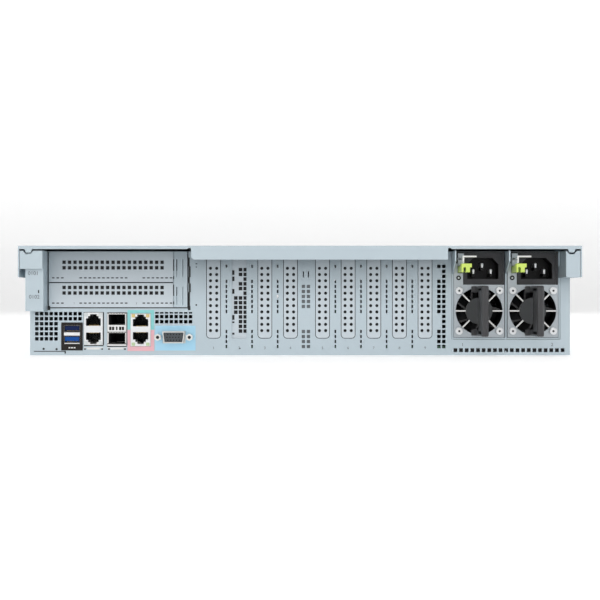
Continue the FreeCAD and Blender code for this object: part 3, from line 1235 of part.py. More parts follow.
def drive_cage():
    """Bay walls and shelf, with the fixed front part of the top and its shoulders."""
    tall = ("sheet_gauge", "tub_top")
    long = ("front", "cage_back")
    outer = "2 * bay_pitch + divider_gauge / 2"
    parts = []
    for word, sign in (("left", 1), ("right", -1)):
        parts.append(block(f"bay_{word}", across(sign, f"{outer} - divider_gauge", outer), long,
                           ("sheet_gauge", "under_cover")))
        parts.append(block(f"skirt_{word}",
                           across(sign, "shoulder - sheet_gauge", "shoulder"),
                           ("ear_plane + clearance", "cover_front - clearance"),
                           ("skirt_low", "under_cover")))
    for step in ("-1", "0", "1"):
        parts.append(block("bay_divider", about(f"{step} * bay_pitch", "divider_gauge"), long,
                           ("sheet_gauge", "bay_top")))
        parts.append(block("bay_post", about(f"{step} * bay_pitch", "divider_gauge"),
                           ("cage_back - bay_post", "cage_back"), ("bay_top", "under_cover")))
    parts.append(block("bay_shelf", (f"-({outer})", outer), long,
                       ("bay_top", "bay_top + sheet_gauge")))
    parts.append(block("front_strip", ("-(side - clearance)", "side - clearance"),
                       ("front", "cover_front - clearance"),
                       ("under_cover", "chassis_height")))
    parts.append(block("front_top", ("-shoulder", "shoulder"),
                       ("ear_plane + clearance", "cover_front - clearance"),
                       ("under_cover", "chassis_height")))
    keep("drive_cage", join("drive_cage", parts))


def backplane():
    """The board behind the bays with one connector per drive."""
    board = ("plug_back", "plug_back + backplane_gauge")
    parts = [block("backplane_board", ("-(2 * bay_pitch - plane_rim)", "2 * bay_pitch - plane_rim"), board,
                   ("sheet_gauge + 1", "bay_top"))]
    for x in BAY_PLACES:
        parts.append(block("drive_plug", about(x, "plug_width"),
                           ("front + drive_front + drive_length + clearance - plug_reach",
                            "plug_back"), ("drive_low + plug_low", "drive_low + plug_top")))
    keep("backplane", join("backplane", parts))


def drive_tray(name, x):
    """A carrier: a bezel with three air windows and two long side rails."""
    half = "drive_width / 2"
    top = "bay_top - bezel_inset"
    low = "sheet_gauge + bezel_inset"
    wide = "bay_pitch - divider_gauge - 2 * clearance"
    bezel = plate(name + "_bezel", "XZ", rectangle(about(x, wide), (low, top)),
                  "bezel_face", "bezel_back")
    vent(bezel, name + "_windows", (f"{x} - tray_window_step", f"{top} - tray_window_drop"),
         ("tray_window", "tray_window_height"), ("tray_window_step", "1"),
         ("tray_windows", "1"))
    parts = [bezel]
    for sign in ("-", "+"):
        inside = f"{x} {sign} {half}"
        outside = f"{x} {sign} ({half} + rail_gauge)"
        span = (inside, outside) if sign == "+" else (outside, inside)
        parts.append(block("tray_rail", span, ("bezel_back - 1", "front + drive_length"),
                           (f"{low} + rail_low", f"{top} - rail_top")))
    barrel = f"{x} - {half} + lever_barrel + 1"
    lever_low = f"{low} + lever_rise"
    for end in ((f"{lever_low} - lever_ear", f"{lever_low} - clearance"),
                (f"{lever_low} + lever_height + clearance",
                 f"{lever_low} + lever_height + lever_ear")):
        parts.append(block("lever_ear", about(barrel, "2 * lever_barrel"),
                           ("bezel_face - clearance - 2 * lever_barrel", "bezel_face"), end))
    parts.append(rod("lever_pin", "lever_pin", barrel,
                     "bezel_face - clearance - lever_barrel",
                     (f"{lever_low} - 1", f"{lever_low} + lever_height + 1")))
    keep(name, join(name, parts))


def tray_lever(name, x):
    """The tray's flat lever, pierced to save weight, turning on an upright pin."""
    half = "drive_width / 2"
    low = "sheet_gauge + bezel_inset + lever_rise"
    barrel = f"{x} - {half} + lever_barrel + 1"
    middle = "bezel_face - clearance - lever_barrel"
    arm = plate(name + "_arm", "XZ", rectangle((barrel, f"{barrel} + lever_length"),
                                               (low, f"{low} + lever_height")),
                f"{middle} - lever_gauge / 2", f"{middle} + lever_gauge / 2")
    vent(arm, name + "_slots", (f"{barrel} + lever_slot_start", f"{low} + lever_height / 2"),
         ("lever_slot", "lever_slot_height"), ("lever_slot_step", "1"), ("lever_slots", "1"))
    roll = rod("lever_barrel", "lever_barrel", barrel, middle, (low, f"{low} + lever_height"))
    tip = block("lever_tip", (f"{barrel} + lever_length - lever_tip", f"{barrel} + lever_length"),
                (f"{middle} - lever_gauge", f"{middle} + lever_gauge / 2"),
                (low, f"{low} + lever_height"))
    hole = rod("lever_bore", "lever_pin + clearance / 2", barrel, middle,
               (f"{low} - 1", f"{low} + lever_height + 1"))
    keep(name, cut(name, join(name + "_body", [arm, roll, tip]), [hole]))


def drive(name, x):
    """A large-format drive: a cast body with a raised lid and a board underneath."""
    front = "front + drive_front"
    wide = "drive_width - clearance / 2"
    long = (front, f"{front} + drive_length - drive_tail")
    low = "drive_low"
    parts = [
        block("drive_body", about(x, wide), long, (f"{low} + drive_board",
                                                f"{low} + drive_height - drive_brim")),
        block("drive_lid", about(x, f"{wide} - drive_tail"),
              (f"{front} + drive_brim", f"{long[1]} - drive_lid_gap"),
              (f"{low} + drive_height - drive_brim", f"{low} + drive_height - drive_board")),
        block("drive_board", about(x, f"{wide} - drive_lid_gap"),
              (f"{front} + drive_board_front", long[1]),
              (low, f"{low} + drive_board")),
    ]
    keep(name, join(name, parts))


def drives():
    """Four trays with their levers and drives."""
    for index, x in enumerate(BAY_PLACES):
        drive_tray(f"drive_tray_{index + 1}", x)
        tray_lever(f"tray_lever_{index + 1}", x)
        drive(f"drive_{index + 1}", x)


HEXAGON = 6


def front_grille():
    """A shallow pan of hexagonal holes above the trays."""
    wide = "2 * bay_pitch - 1"
    low = "bay_top + sheet_gauge + clearance"
    high = "under_cover - clearance"
    body = plate("grille_face", "XZ", rectangle((f"-({wide})", wide), (low, high)),
                 "bezel_face", "bezel_face + sheet_gauge")
    middle = f"(({low}) + ({high})) / 2"
    side_step = "grille_pitch * hexagon_rise"
    punches = []
    for word, shift, lift, columns in (("even", "0", "0", "grille_columns"),
                                       ("odd", "1 / 2", "hexagon_rise", "grille_columns - 1")):
        start_x = f"-(grille_columns - 1) / 2 * grille_pitch + {shift} * grille_pitch"
        rows = "grille_rows" if word == "even" else "grille_rows - 1"
        start_z = f"{middle} - (grille_rows - 1) * {side_step} + {lift} * grille_pitch"
        corners = []
        for corner in range(HEXAGON):
            angle = math.tau * (corner + 1 / 2) / HEXAGON
            corners.append((f"{start_x} + grille_hole * {math.cos(angle):.4f}",
                            f"{start_z} + grille_hole * {math.sin(angle):.4f}"))
        bars = plate(f"grille_{word}", "XZ", corners, "bezel_face - 1",
                     "bezel_face + sheet_gauge + 1")
        repeat(bars, bars.Tip, ("grille_pitch", f"2 * {side_step}"), (columns, rows))
        punches.append(bars)
    face = cut("grille_punched", body, [bundle("grille_punches", punches)])
    face.Refine = False
    deep = ("bezel_face", "front - clearance / 2")
    parts = [face]
    for end in ((low, f"{low} + sheet_gauge"), (f"{high} - sheet_gauge", high)):
        parts.append(block("grille_edge", (f"-({wide})", wide), deep, end))
    for word, sign in (("left", 1), ("right", -1)):
        parts.append(block(f"grille_{word}", across(sign, f"{wide} - sheet_gauge", wide), deep,
                           (low, high)))
    grille = join("front_grille", parts)
    grille.Refine = False
    keep("front_grille", grille)


# ---- Rack ears, latches and buttons

def ear_spans(sign):
    """The ear's inner and outer faces on one side."""
    return across(sign, "side + ear_inner", "rack_width / 2")


def ear_hole(name, sign, z):
    """A level slot through the ear's flange for a rack screw."""
    x = f"{sign} * rack_hole_spread / 2"
    deep = ("ear_plane - ear_gauge - 1", "ear_plane + 1")
    half = "(rack_slot / 2 - rack_hole)"
    middle = block(name, about(x, "rack_slot - 2 * rack_hole"), deep, about(z, "2 * rack_hole"))
    return [middle, rod(name, "rack_hole", f"{x} - {half}", deep, z),
            rod(name, "rack_hole", f"{x} + {half}", deep, z)]


def rack_ear(word, sign):
    """A flange on a side arm, with a hollow housing in front and a pin for its door."""
    tall = ("ear_margin", "chassis_height - ear_margin")
    flange = ("ear_plane - ear_gauge", "ear_plane")
    front = "ear_front"
    outer = ear_spans(sign)
    parts = [
        block("ear_flange", across(sign, "side", "rack_width / 2"), flange, tall),
        block("ear_side_arm", across(sign, "side", "side + ear_gauge"),
              ("ear_plane - ear_gauge", "ear_plane + ear_arm"),
              ("ear_margin", "skirt_low - clearance")),
    ]
    shell = block("ear_shell", outer, (front, flange[0]), tall)
    hollow = block("ear_hollow", (f"{outer[0]} + ear_wall", f"{outer[1]} - ear_wall"),
                   (f"{front} - 1", flange[0]),
                   ("ear_margin + ear_wall", "chassis_height - ear_margin - ear_top_panel"))
    pocket_box = block("ear_button_space",
                       (f"{outer[0]} + ear_wall", f"{outer[1]} - ear_wall"),
                       (f"{front} + ear_wall", flange[0]),
                       ("chassis_height - ear_margin - ear_top_panel + ear_wall",
                        "chassis_height - ear_margin - ear_wall"))
    parts.append(cut(f"ear_box_{word}", shell, [hollow, pocket_box]))
    tools = []
    for lift in ("-", "+"):
        z = f"chassis_height / 2 {lift} rack_hole_rise / 2"
        tools += ear_hole("ear_slot", sign, z)
    if sign > 0:
        for button, radius in (("+", "button_radius"), ("-", "small_button")):
            tools.append(rod("button_hole", f"{radius} + clearance / 2", button_x(button),
                             (f"{front} - 1", f"{front} + ear_wall + 1"), "button_z"))
    body = cut(f"{word}_ear_body", join(f"{word}_ear_sheets", parts), tools)
    pin_x = f"{sign} * (rack_width / 2 - ear_wall - door_pin - clearance)"
    pin = rod("door_pin", "door_pin", pin_x, "door_y",
              ("door_low - door_knuckle", "door_top + door_knuckle"))
    knuckles = [block("door_knuckle", about(pin_x, "2 * door_pin + 2 * door_wall"),
                      ("door_y - door_pin - door_wall / 2", "ear_front + 2"), end)
                for end in (("door_low - door_knuckle", "door_low - clearance"),
                            ("door_top + clearance", "door_top + door_knuckle"))]
    keep(f"{word}_ear", join(f"{word}_ear", [body, pin] + knuckles))


def button_x(side_word):
    """A button's place across the right ear."""
    return f"ear_middle {side_word} button_spread"


def ear_latch(word, sign):
    """The ear's flip door, rolled round its pin at the outer edge."""
    pin_x = f"{sign} * (rack_width / 2 - ear_wall - door_pin - clearance)"
    free = f"{sign} * (side + ear_inner + ear_wall)"
    span = (free, pin_x) if sign > 0 else (pin_x, free)
    tall = ("door_low", "door_top")
    parts = [
        block("door_leaf", span, ("door_y - door_gauge / 2", "door_y + door_gauge / 2"),
              tall),
        rod("door_roll", "door_pin + 1", pin_x, "door_y", tall),
    ]
    grip = (free, f"{free} + {sign} * door_grip")
    span = grip if sign > 0 else (grip[1], grip[0])
    parts.append(block("door_grip", span, ("ear_face", "door_y"), tall))
    bore = rod("door_bore", "door_pin + clearance / 2", pin_x, "door_y",
               ("door_low - 1", "door_top + 1"))
    keep(f"{word}_ear_latch", cut(f"{word}_ear_latch", join(f"{word}_door", parts), [bore]))


def push_button(name, side_word, radius):
    """A round button with a shoulder that stops it behind the ear's face."""
    back = "ear_front + ear_wall"
    parts = [
        rod("button_cap", radius, button_x(side_word),
            ("ear_front - button_proud", f"{back} + button_length"), "button_z"),
        rod("button_shoulder", f"{radius} + button_brim", button_x(side_word),
            (f"{back} + clearance", f"{back} + clearance + 1"), "button_z"),
    ]
    keep(name, join(name, parts))


def ears():
    """Both ears, their doors, and the two buttons of the right one."""
    for word, sign in (("left", -1), ("right", 1)):
        rack_ear(word, sign)
        ear_latch(word, sign)
    push_button("power_button", "+", "button_radius")
    push_button("id_button", "-", "small_button")


# ---- Cover

def lip_corners():
    """The rear lip: thin at both ends, tall in the middle, notched where it steps."""
    thin = "chassis_height - lip_thin"
    tall = "chassis_height - lip_tall"
    left = "lip_left"
    right = "-lip_right"
    tab = "shoulder - tab_inset"
    tab_low = f"{thin} - tab_drop"
    half = "tab_width / 2"
    return [
        ("-shoulder", "chassis_height"), ("-shoulder", thin),
        (f"-({tab}) - {half}", thin), (f"-({tab}) - {half} + tab_slant", tab_low),
        (f"-({tab}) + {half} - tab_slant", tab_low), (f"-({tab}) + {half}", thin),
        (f"{right} - lip_notch", thin), (f"{right} - lip_notch / 2", f"{thin} + notch_rise"),
        (f"{right}", f"{thin} + notch_foot"), (right, f"{tall}"),
        (f"{left} - lip_chamfer", tall), (left, f"{tall} + lip_chamfer"),
        (left, f"{thin} + notch_foot"), (f"{left} + lip_notch / 2", f"{thin} + notch_rise"),
        (f"{left} + lip_notch", thin),
        (f"{tab} - {half}", thin), (f"{tab} - {half} + tab_slant", tab_low),
        (f"{tab} + {half} - tab_slant", tab_low), (f"{tab} + {half}", thin),
        ("shoulder", thin), ("shoulder", "chassis_height"),
    ]


def lid_beads():
    """The two long round-ended channels that stiffen the lid, one on each side."""
    span = ("cover_front + bead_inset", "lip_back - bead_inset")
    deep = ("chassis_height - bead_depth", "chassis_height + 1")
    channels = []
    for sign in ("-", ""):
        x = f"{sign}bead_place"
        channels.append(block("lid_bead", about(x, "2 * bead_radius"), span, deep))
        for y in span:
            channels.append(rod("bead_end", "bead_radius", x, y, deep))
    return channels


def top_cover():
    """The sliding lid: top sheet, side skirts, rear lip, and a dish for its latch."""
    long = ("cover_front", "lip_back")
    dish_y = ("rear - dish_back", "rear - dish_back + dish_length")
    dish_x = about("0", "dish_width")
    gauge = "sheet_gauge"
    parts = [
        block("cover_top", ("-shoulder", "shoulder"), long, ("under_cover", "chassis_height")),
        plate("cover_lip", "XZ", lip_corners(), "lip_front", "lip_back"),
        block("cover_dish", (f"{dish_x[0]} - {gauge}", f"{dish_x[1]} + {gauge}"),
              (f"{dish_y[0]} - {gauge}", f"{dish_y[1]} + {gauge}"),
              (f"chassis_height - dish_depth - {gauge}", "under_cover")),
    ]
    for word, sign in (("left", 1), ("right", -1)):
        parts.append(block(f"cover_skirt_{word}",
                           across(sign, "shoulder - sheet_gauge", "shoulder"),
                           ("cover_front", "lip_back"), ("skirt_low", "under_cover")))
    shell = join("cover_sheets", parts)
    hollow = block("dish_hollow", dish_x, dish_y,
                   ("chassis_height - dish_depth", "chassis_height + 1"))
    pin = rod("cover_pin", "latch_pin", (dish_x[0], dish_x[1]), f"{dish_y[0]} + latch_grip / 2",
              "chassis_height - dish_depth / 2 - latch_sink")
    keep("top_cover", join("top_cover", [cut("cover_dished", shell, [hollow] + lid_beads()),
                                         pin]))


def cover_latch():
    """The lever in the cover's dish that draws the cover back."""
    dish_y = ("rear - dish_back", "rear - dish_back + dish_length")
    y = f"{dish_y[0]} + latch_grip / 2"
    z = "chassis_height - dish_depth / 2 - latch_sink"
    wide = "dish_width - latch_play"
    flat = about(z, "latch_gauge")
    body = block("latch_lever", about("0", wide), (y, f"{dish_y[1]} - latch_end"), flat)
    roll = rod("latch_roll", "latch_gauge / 2 + latch_roll", about("0", wide), y, z)
    window = block("latch_window", about("0", f"{wide} - latch_rim"),
                   (f"{dish_y[1]} - latch_slot_low", f"{dish_y[1]} - latch_slot_high"),
                   (f"{z} - latch_gauge", f"{z} + latch_gauge"))
    bore = rod("latch_bore", "latch_pin + clearance / 2", about("0", "dish_width + 2"), y, z)
    keep("cover_latch", cut("cover_latch", join("latch_body", [body, roll]), [window, bore]))


# ---- Fasteners

def stud_places():
    """The rail studs along each side."""
    return [f"{step} * stud_spacing" for step in ("-1", "0", "1")]


def fasteners():
    """Board screws and the shouldered studs that hang the server in its rails."""
    solids = []
    for index, (x, y) in enumerate(board_posts()):
        solids.append(join(f"board_screw_{index + 1}", [
            rod("screw_shank", "screw_radius", x, y, ("sheet_gauge + 1", "board_top")),
            rod("screw_cap", "screw_head", x, y, ("board_top", "board_top + screw_head_height")),
        ]))
    for word, sign in (("left", 1), ("right", -1)):
        for y in stud_places():
            neck = across(sign, "side", "side + stud_neck")
            head = across(sign, "side + stud_neck", "side + stud_neck + stud_head_height")
            solids.append(join(f"rail_stud_{word}", [
                rod("stud_neck", "stud_radius", neck, y, "stud_rise"),
                rod("stud_cap", "stud_head", head, y, "stud_rise"),
            ]))
    keep("fasteners", bundle("fasteners", solids))


# ---- The whole server

SECTIONS = (chassis_pan, rear_wall, slot_covers, riser_cage, psu_cage,
            lan_port_stack, service_port_stack, sfp_cage, usb_port_stack, vga_port,
            motherboard, board_sockets, heatsinks, memory_modules, air_duct, fan_wall,
            fan_frames, fan_rotors, power_supplies, drive_cage, backplane, drives,
            front_grille, ears, top_cover, cover_latch, fasteners)

for section in SECTIONS:
    section()
doc.recompute()

for item in doc.Objects:
    if "Invalid" in item.State or "Error" in item.State:
        raise RuntimeError(f"{item.Name} did not build: {item.State}")
for node in NODES:
    if node.Shape.isNull() or not node.Shape.isValid():
        raise RuntimeError(f"{node.Label} has no sound shape")

os.makedirs("parts", exist_ok=True)
for node in NODES:
    node.Shape.exportStep(f"parts/{node.Label}.step")
print(len(NODES), "parts written")
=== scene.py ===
import itertools
import math
import bmesh
import bpy
from mathutils import Matrix, Vector


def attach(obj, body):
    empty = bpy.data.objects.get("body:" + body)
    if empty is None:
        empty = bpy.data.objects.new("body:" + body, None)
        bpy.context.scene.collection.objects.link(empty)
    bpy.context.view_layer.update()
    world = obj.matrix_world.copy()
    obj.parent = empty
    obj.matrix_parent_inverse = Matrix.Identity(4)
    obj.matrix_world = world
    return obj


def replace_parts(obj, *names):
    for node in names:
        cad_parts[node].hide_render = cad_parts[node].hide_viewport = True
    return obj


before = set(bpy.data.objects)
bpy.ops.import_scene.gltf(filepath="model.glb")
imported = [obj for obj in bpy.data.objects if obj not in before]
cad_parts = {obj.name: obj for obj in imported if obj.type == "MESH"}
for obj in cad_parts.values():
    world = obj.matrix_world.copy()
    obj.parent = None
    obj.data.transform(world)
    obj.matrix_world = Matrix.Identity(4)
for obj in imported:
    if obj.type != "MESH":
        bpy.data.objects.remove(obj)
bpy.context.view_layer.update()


# ---- Tub, rear wall, cages and lid
# One millimetre steel sheet, zinc plated after pressing, so every fold and hole edge has the
# same pale blue-grey skin. The plating is faintly cloudy with a very fine rolled grain.
ROUGH_SPREAD = 0.06
GRAIN_HEIGHT = 0.0002


def finish(name, colour, shade, metal, rough, cloud, grain, relief, coat=0.0):
    """A finish whose colour drifts softly to a second shade, with a fine raised grain."""
    mat = bpy.data.materials.new(name)
    mat.use_nodes = True
    tree = mat.node_tree
    link = tree.links.new
    skin = tree.nodes["Principled BSDF"]
    skin.inputs["Metallic"].default_value = metal
    skin.inputs["Coat Weight"].default_value = coat
    place = tree.nodes.new("ShaderNodeTexCoord")
    clouds = tree.nodes.new("ShaderNodeTexNoise")
    clouds.inputs["Scale"].default_value = cloud
    clouds.inputs["Detail"].default_value = 3
    link(place.outputs["Object"], clouds.inputs["Vector"])
    drift = tree.nodes.new("ShaderNodeMix")
    drift.data_type = "RGBA"
    drift.inputs[6].default_value = (*colour, 1)
    drift.inputs[7].default_value = (*shade, 1)
    link(clouds.outputs["Fac"], drift.inputs[0])
    link(drift.outputs[2], skin.inputs["Base Color"])
    stretch = tree.nodes.new("ShaderNodeMapping")
    stretch.inputs["Scale"].default_value = grain
    link(place.outputs["Object"], stretch.inputs["Vector"])
    fine = tree.nodes.new("ShaderNodeTexNoise")
    fine.inputs["Scale"].default_value = 1
    fine.inputs["Detail"].default_value = 4
    link(stretch.outputs["Vector"], fine.inputs["Vector"])
    matt = tree.nodes.new("ShaderNodeMapRange")
    matt.inputs["To Min"].default_value = rough - ROUGH_SPREAD
    matt.inputs["To Max"].default_value = rough + ROUGH_SPREAD
    link(fine.outputs["Fac"], matt.inputs["Value"])
    link(matt.outputs["Result"], skin.inputs["Roughness"])
    raised = tree.nodes.new("ShaderNodeBump")
    raised.inputs["Strength"].default_value = relief
    raised.inputs["Distance"].default_value = GRAIN_HEIGHT
    link(fine.outputs["Fac"], raised.inputs["Height"])
    link(raised.outputs["Normal"], skin.inputs["Normal"])
    return mat


def coat_nodes(names, mat):
    """Gives frame nodes their finish."""
    for name in names:
        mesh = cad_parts[name].data
        for index in range(len(mesh.materials)):
            mesh.materials[index] = mat


ZINC, ZINC_CLOUD = (0.48, 0.565, 0.615), (0.53, 0.61, 0.655)
plated_steel = finish("plated_steel", ZINC, ZINC_CLOUD, metal=0.55, rough=0.42, cloud=14,
                      grain=(900, 900, 2600), relief=0.10)
coat_nodes(["chassis_pan", "port_panel", "psu_cage", "drive_cage", "top_cover", "fan_wall"],
           plated_steel)


LIP_SHADE_FROM, LIP_SHADE_TO = 0.034, 0.084   # heights over which painted shade darkens the plating
LIP_SHADE_END = 0.3663              # the shoulder brackets stand further back and get no painted shade
# the colour of the painted shade under the lip
LIP_SHADE_STEEL = (0.16, 0.19, 0.21, 1)


def shade_under_lip(mat, strongest):
    """Painted shade on the rear sheets, darker towards their top, standing for the shadow under
    the lip.
    """
    tree = mat.node_tree
    link = tree.links.new
    skin = tree.nodes["Principled BSDF"]
    place = tree.nodes.new("ShaderNodeTexCoord")
    axes = tree.nodes.new("ShaderNodeSeparateXYZ")
    link(place.outputs["Object"], axes.inputs["Vector"])
    height = tree.nodes.new("ShaderNodeMapRange")
    height.interpolation_type = "SMOOTHSTEP"
    height.inputs["From Min"].default_value = LIP_SHADE_FROM
    height.inputs["From Max"].default_value = LIP_SHADE_TO
    height.inputs["To Max"].default_value = strongest
    link(axes.outputs["Z"], height.inputs["Value"])
    behind = tree.nodes.new("ShaderNodeMath")
    behind.operation = "LESS_THAN"
    behind.inputs[1].default_value = LIP_SHADE_END
    link(axes.outputs["Y"], behind.inputs[0])
    amount = tree.nodes.new("ShaderNodeMath")
    amount.operation = "MULTIPLY"
    link(height.outputs["Result"], amount.inputs[0])
    link(behind.outputs["Value"], amount.inputs[1])
    lip_shaded = tree.nodes.new("ShaderNodeMix")
    lip_shaded.data_type = "RGBA"
    lip_shaded.inputs[7].default_value = LIP_SHADE_STEEL
    link(amount.outputs["Value"], lip_shaded.inputs[0])
    link(skin.inputs["Base Color"].links[0].from_socket, lip_shaded.inputs[6])
    link(lip_shaded.outputs[2], skin.inputs["Base Color"])


# Rear sheets with painted shade towards their top, for the shadow under the lip.
rear_steel = finish("rear_steel", ZINC, ZINC_CLOUD, metal=0.55, rough=0.42, cloud=14,
                    grain=(900, 900, 2600), relief=0.10)
shade_under_lip(rear_steel, 0.62)
coat_nodes(["rear_wall", "riser_cage"], rear_steel)

# ---- Slot covers
# Thin spring steel blanks, one for each card slot, drawn up into a long boss with two rows
# of holes. They are a little brighter than the wall, because they are plated separately.
blank_steel = finish("blank_steel", (0.54, 0.60, 0.645), (0.59, 0.65, 0.69), metal=0.55,
                     rough=0.38, cloud=18, grain=(1200, 1200, 3000), relief=0.08)
# The blanks get the same painted shade under the lip.
shade_under_lip(blank_steel, 0.55)
coat_nodes(["slot_covers"], blank_steel)


# ---- Slot and supply numbers
# Pad printed in grey ink straight on the plating: a number under each slot, beside each
# supply and twice on the corner bracket. The ink is a hair proud of the steel.
def joined(bm, name, mat, body):
    """Turns a mesh in the making into a piece that moves with its body."""
    mesh = bpy.data.meshes.new(name)
    bm.to_mesh(mesh)
    bm.free()
    piece = bpy.data.objects.new(name, mesh)
    bpy.context.scene.collection.objects.link(piece)
    mesh.materials.append(mat)
    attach(piece, body)
    return piece


ink = finish("grey_ink", (0.10, 0.11, 0.13), (0.16, 0.17, 0.19), metal=0.0, rough=0.6, cloud=300,
             grain=(4000, 4000, 4000), relief=0.05)
numbers = bmesh.new()
ON_WALL, ON_BRACKET = 0.3661, 0.3831    # where the ink lies, from front to back
CAP_TO_SIZE = 1.4                       # type size over the height of a digit
INK_THICK = 0.00004
SLOT_X = (0.0685, 0.0482, 0.0279, 0.0076, -0.0178, -0.0381, -0.0584, -0.0788, -0.0991)
PRINT = [(str(k + 1), x, ON_WALL, 0.0058, 0.0021) for k, x in enumerate(SLOT_X)]
PRINT += [("0101", 0.2078, ON_BRACKET, 0.0646, 0.0030),
          ("0102", 0.2070, ON_BRACKET, 0.0462, 0.0030),
          ("1", -0.1288, ON_WALL, 0.0084, 0.0026), ("2", -0.1998, ON_WALL, 0.0084, 0.0026),
          ("1", 0.1790, ON_WALL, 0.0412, 0.0016), ("2", 0.1296, ON_WALL, 0.0412, 0.0016)]
for digits, x, y, z, tall in PRINT:
    letters = bpy.data.curves.new("letters", "FONT")
    letters.body = digits
    letters.size = tall * CAP_TO_SIZE
    letters.align_x = "CENTER"
    letters.align_y = "CENTER"
    letters.extrude = INK_THICK
    holder = bpy.data.objects.new("letters", letters)
    bpy.context.scene.collection.objects.link(holder)
    bpy.context.view_layer.update()
    shape = bpy.data.meshes.new_from_object(holder)
    shape.transform(Matrix.Translation((x, y, z)) @ Matrix.Rotation(math.pi, 4, "Z")
                    @ Matrix.Rotation(math.pi / 2, 4, "X"))
    numbers.from_mesh(shape)
    bpy.data.objects.remove(holder)
    bpy.data.meshes.remove(shape)
joined(numbers, "slot_numbers", ink, "chassis")


# ---- Port labels
# Coloured polyester labels around the rear ports: sea green over rose at the service jacks,
# sky blue at the screen port, black at the fast ports. Each is cut out for its sockets.
def set_gloss(mat, level):
    """How strongly a plain surface mirrors; the films and mouldings are duller than usual."""
    mat.node_tree.nodes["Principled BSDF"].inputs["Specular IOR Level"].default_value = level


LABEL_FACE, FILM_FACE = 0.3661, 0.36655
LABEL_THICK = 0.0001
HAIR = 0.01                             # radians; flatter joins than this are dissolved


def cut_label(name, outer, windows, y, mat):
    """A flat label on the rear wall with rectangular windows, all sizes in metres."""
    bm = bmesh.new()
    x0, x1, z0, z1 = outer
    bmesh.ops.create_grid(bm, x_segments=1, y_segments=1, size=0.5,
                          matrix=Matrix.Translation(((x0 + x1) / 2, y, (z0 + z1) / 2))
                          @ Matrix.Rotation(-math.pi / 2, 4, "X")
                          @ Matrix.Diagonal((x1 - x0, z1 - z0, 1, 1)))
    for a, b, c, d in windows:
        for point, along in ((a, "x"), (b, "x"), (c, "z"), (d, "z")):
            at = (point, 0, 0) if along == "x" else (0, 0, point)
            normal = (1, 0, 0) if along == "x" else (0, 0, 1)
            bmesh.ops.bisect_plane(bm, geom=bm.verts[:] + bm.edges[:] + bm.faces[:],
                                   plane_co=at, plane_no=normal)
    gone = []
    for face in bm.faces:
        spot = face.calc_center_median()
        if any(a < spot.x < b and c < spot.z < d for a, b, c, d in windows):
            gone.append(face)
    bmesh.ops.delete(bm, geom=gone, context="FACES")
    bmesh.ops.dissolve_limit(bm, angle_limit=HAIR, verts=bm.verts[:], edges=bm.edges[:])
    bmesh.ops.recalc_face_normals(bm, faces=bm.faces[:])
    bmesh.ops.solidify(bm, geom=bm.faces[:], thickness=LABEL_THICK)
    bmesh.ops.recalc_face_normals(bm, faces=bm.faces[:])
    joined(bm, name, mat, "chassis")


sea_green = finish("sea_green_print", (0.22, 0.60, 0.60), (0.28, 0.66, 0.66), metal=0.0,
                   rough=0.45, cloud=60, grain=(1500, 1500, 1500), relief=0.04)
rose = finish("rose_print", (0.80, 0.42, 0.47), (0.84, 0.50, 0.54), metal=0.0, rough=0.45,
              cloud=60, grain=(1500, 1500, 1500), relief=0.04)
sky_blue = finish("sky_blue_print", (0.35, 0.66, 0.86), (0.46, 0.72, 0.87), metal=0.0, rough=0.45,
                  cloud=60, grain=(1500, 1500, 1500), relief=0.04)
black_film = finish("black_film", (0.020, 0.017, 0.016), (0.035, 0.030, 0.028), metal=0.0,
                    rough=0.5, cloud=60, grain=(1500, 1500, 1500), relief=0.04)
set_gloss(black_film, 0.1)
cut_label("service_label_upper", (0.1156, 0.1367, 0.0202, 0.0359),
          [(0.1182, 0.1344, 0.0202, 0.0333)], LABEL_FACE, sea_green)
cut_label("service_label_lower", (0.1156, 0.1367, 0.0034, 0.0202),
          [(0.1182, 0.1344, 0.0070, 0.0202)], LABEL_FACE, rose)
cut_label("screen_label", (0.0828, 0.1148, 0.0038, 0.0235),
          [(0.0907, 0.1089, 0.0095, 0.0193)], LABEL_FACE, sky_blue)
cut_label("fast_port_label", (0.1721, 0.1892, 0.0039, 0.0260),
          [(0.1743, 0.1869, 0.0186, 0.0238), (0.1743, 0.1869, 0.0102, 0.0154)], FILM_FACE,
          black_film)


# ---- Fast ports
# Two stamped sockets with a blue tongue each and four gold fingers under it, painted shade round
# each tongue and a white nylon bar between them. The shell is tinned steel.
def bar(bm, low, high, soft):
    """A bar between two corners, in millimetres, with softened edges."""
    low, high = Vector(low) / 1000, Vector(high) / 1000
    size = high - low
    made = bmesh.ops.create_cube(bm, size=1, matrix=Matrix.Translation((low + high) / 2)
                                 @ Matrix.Diagonal((*size, 1)))
    edges = list({edge for vert in made["verts"] for edge in vert.link_edges})
    bmesh.ops.bevel(bm, geom=edges, offset=soft / 1000, offset_type="OFFSET", segments=2,
                    profile=0.5, affect="EDGES", material=-1)


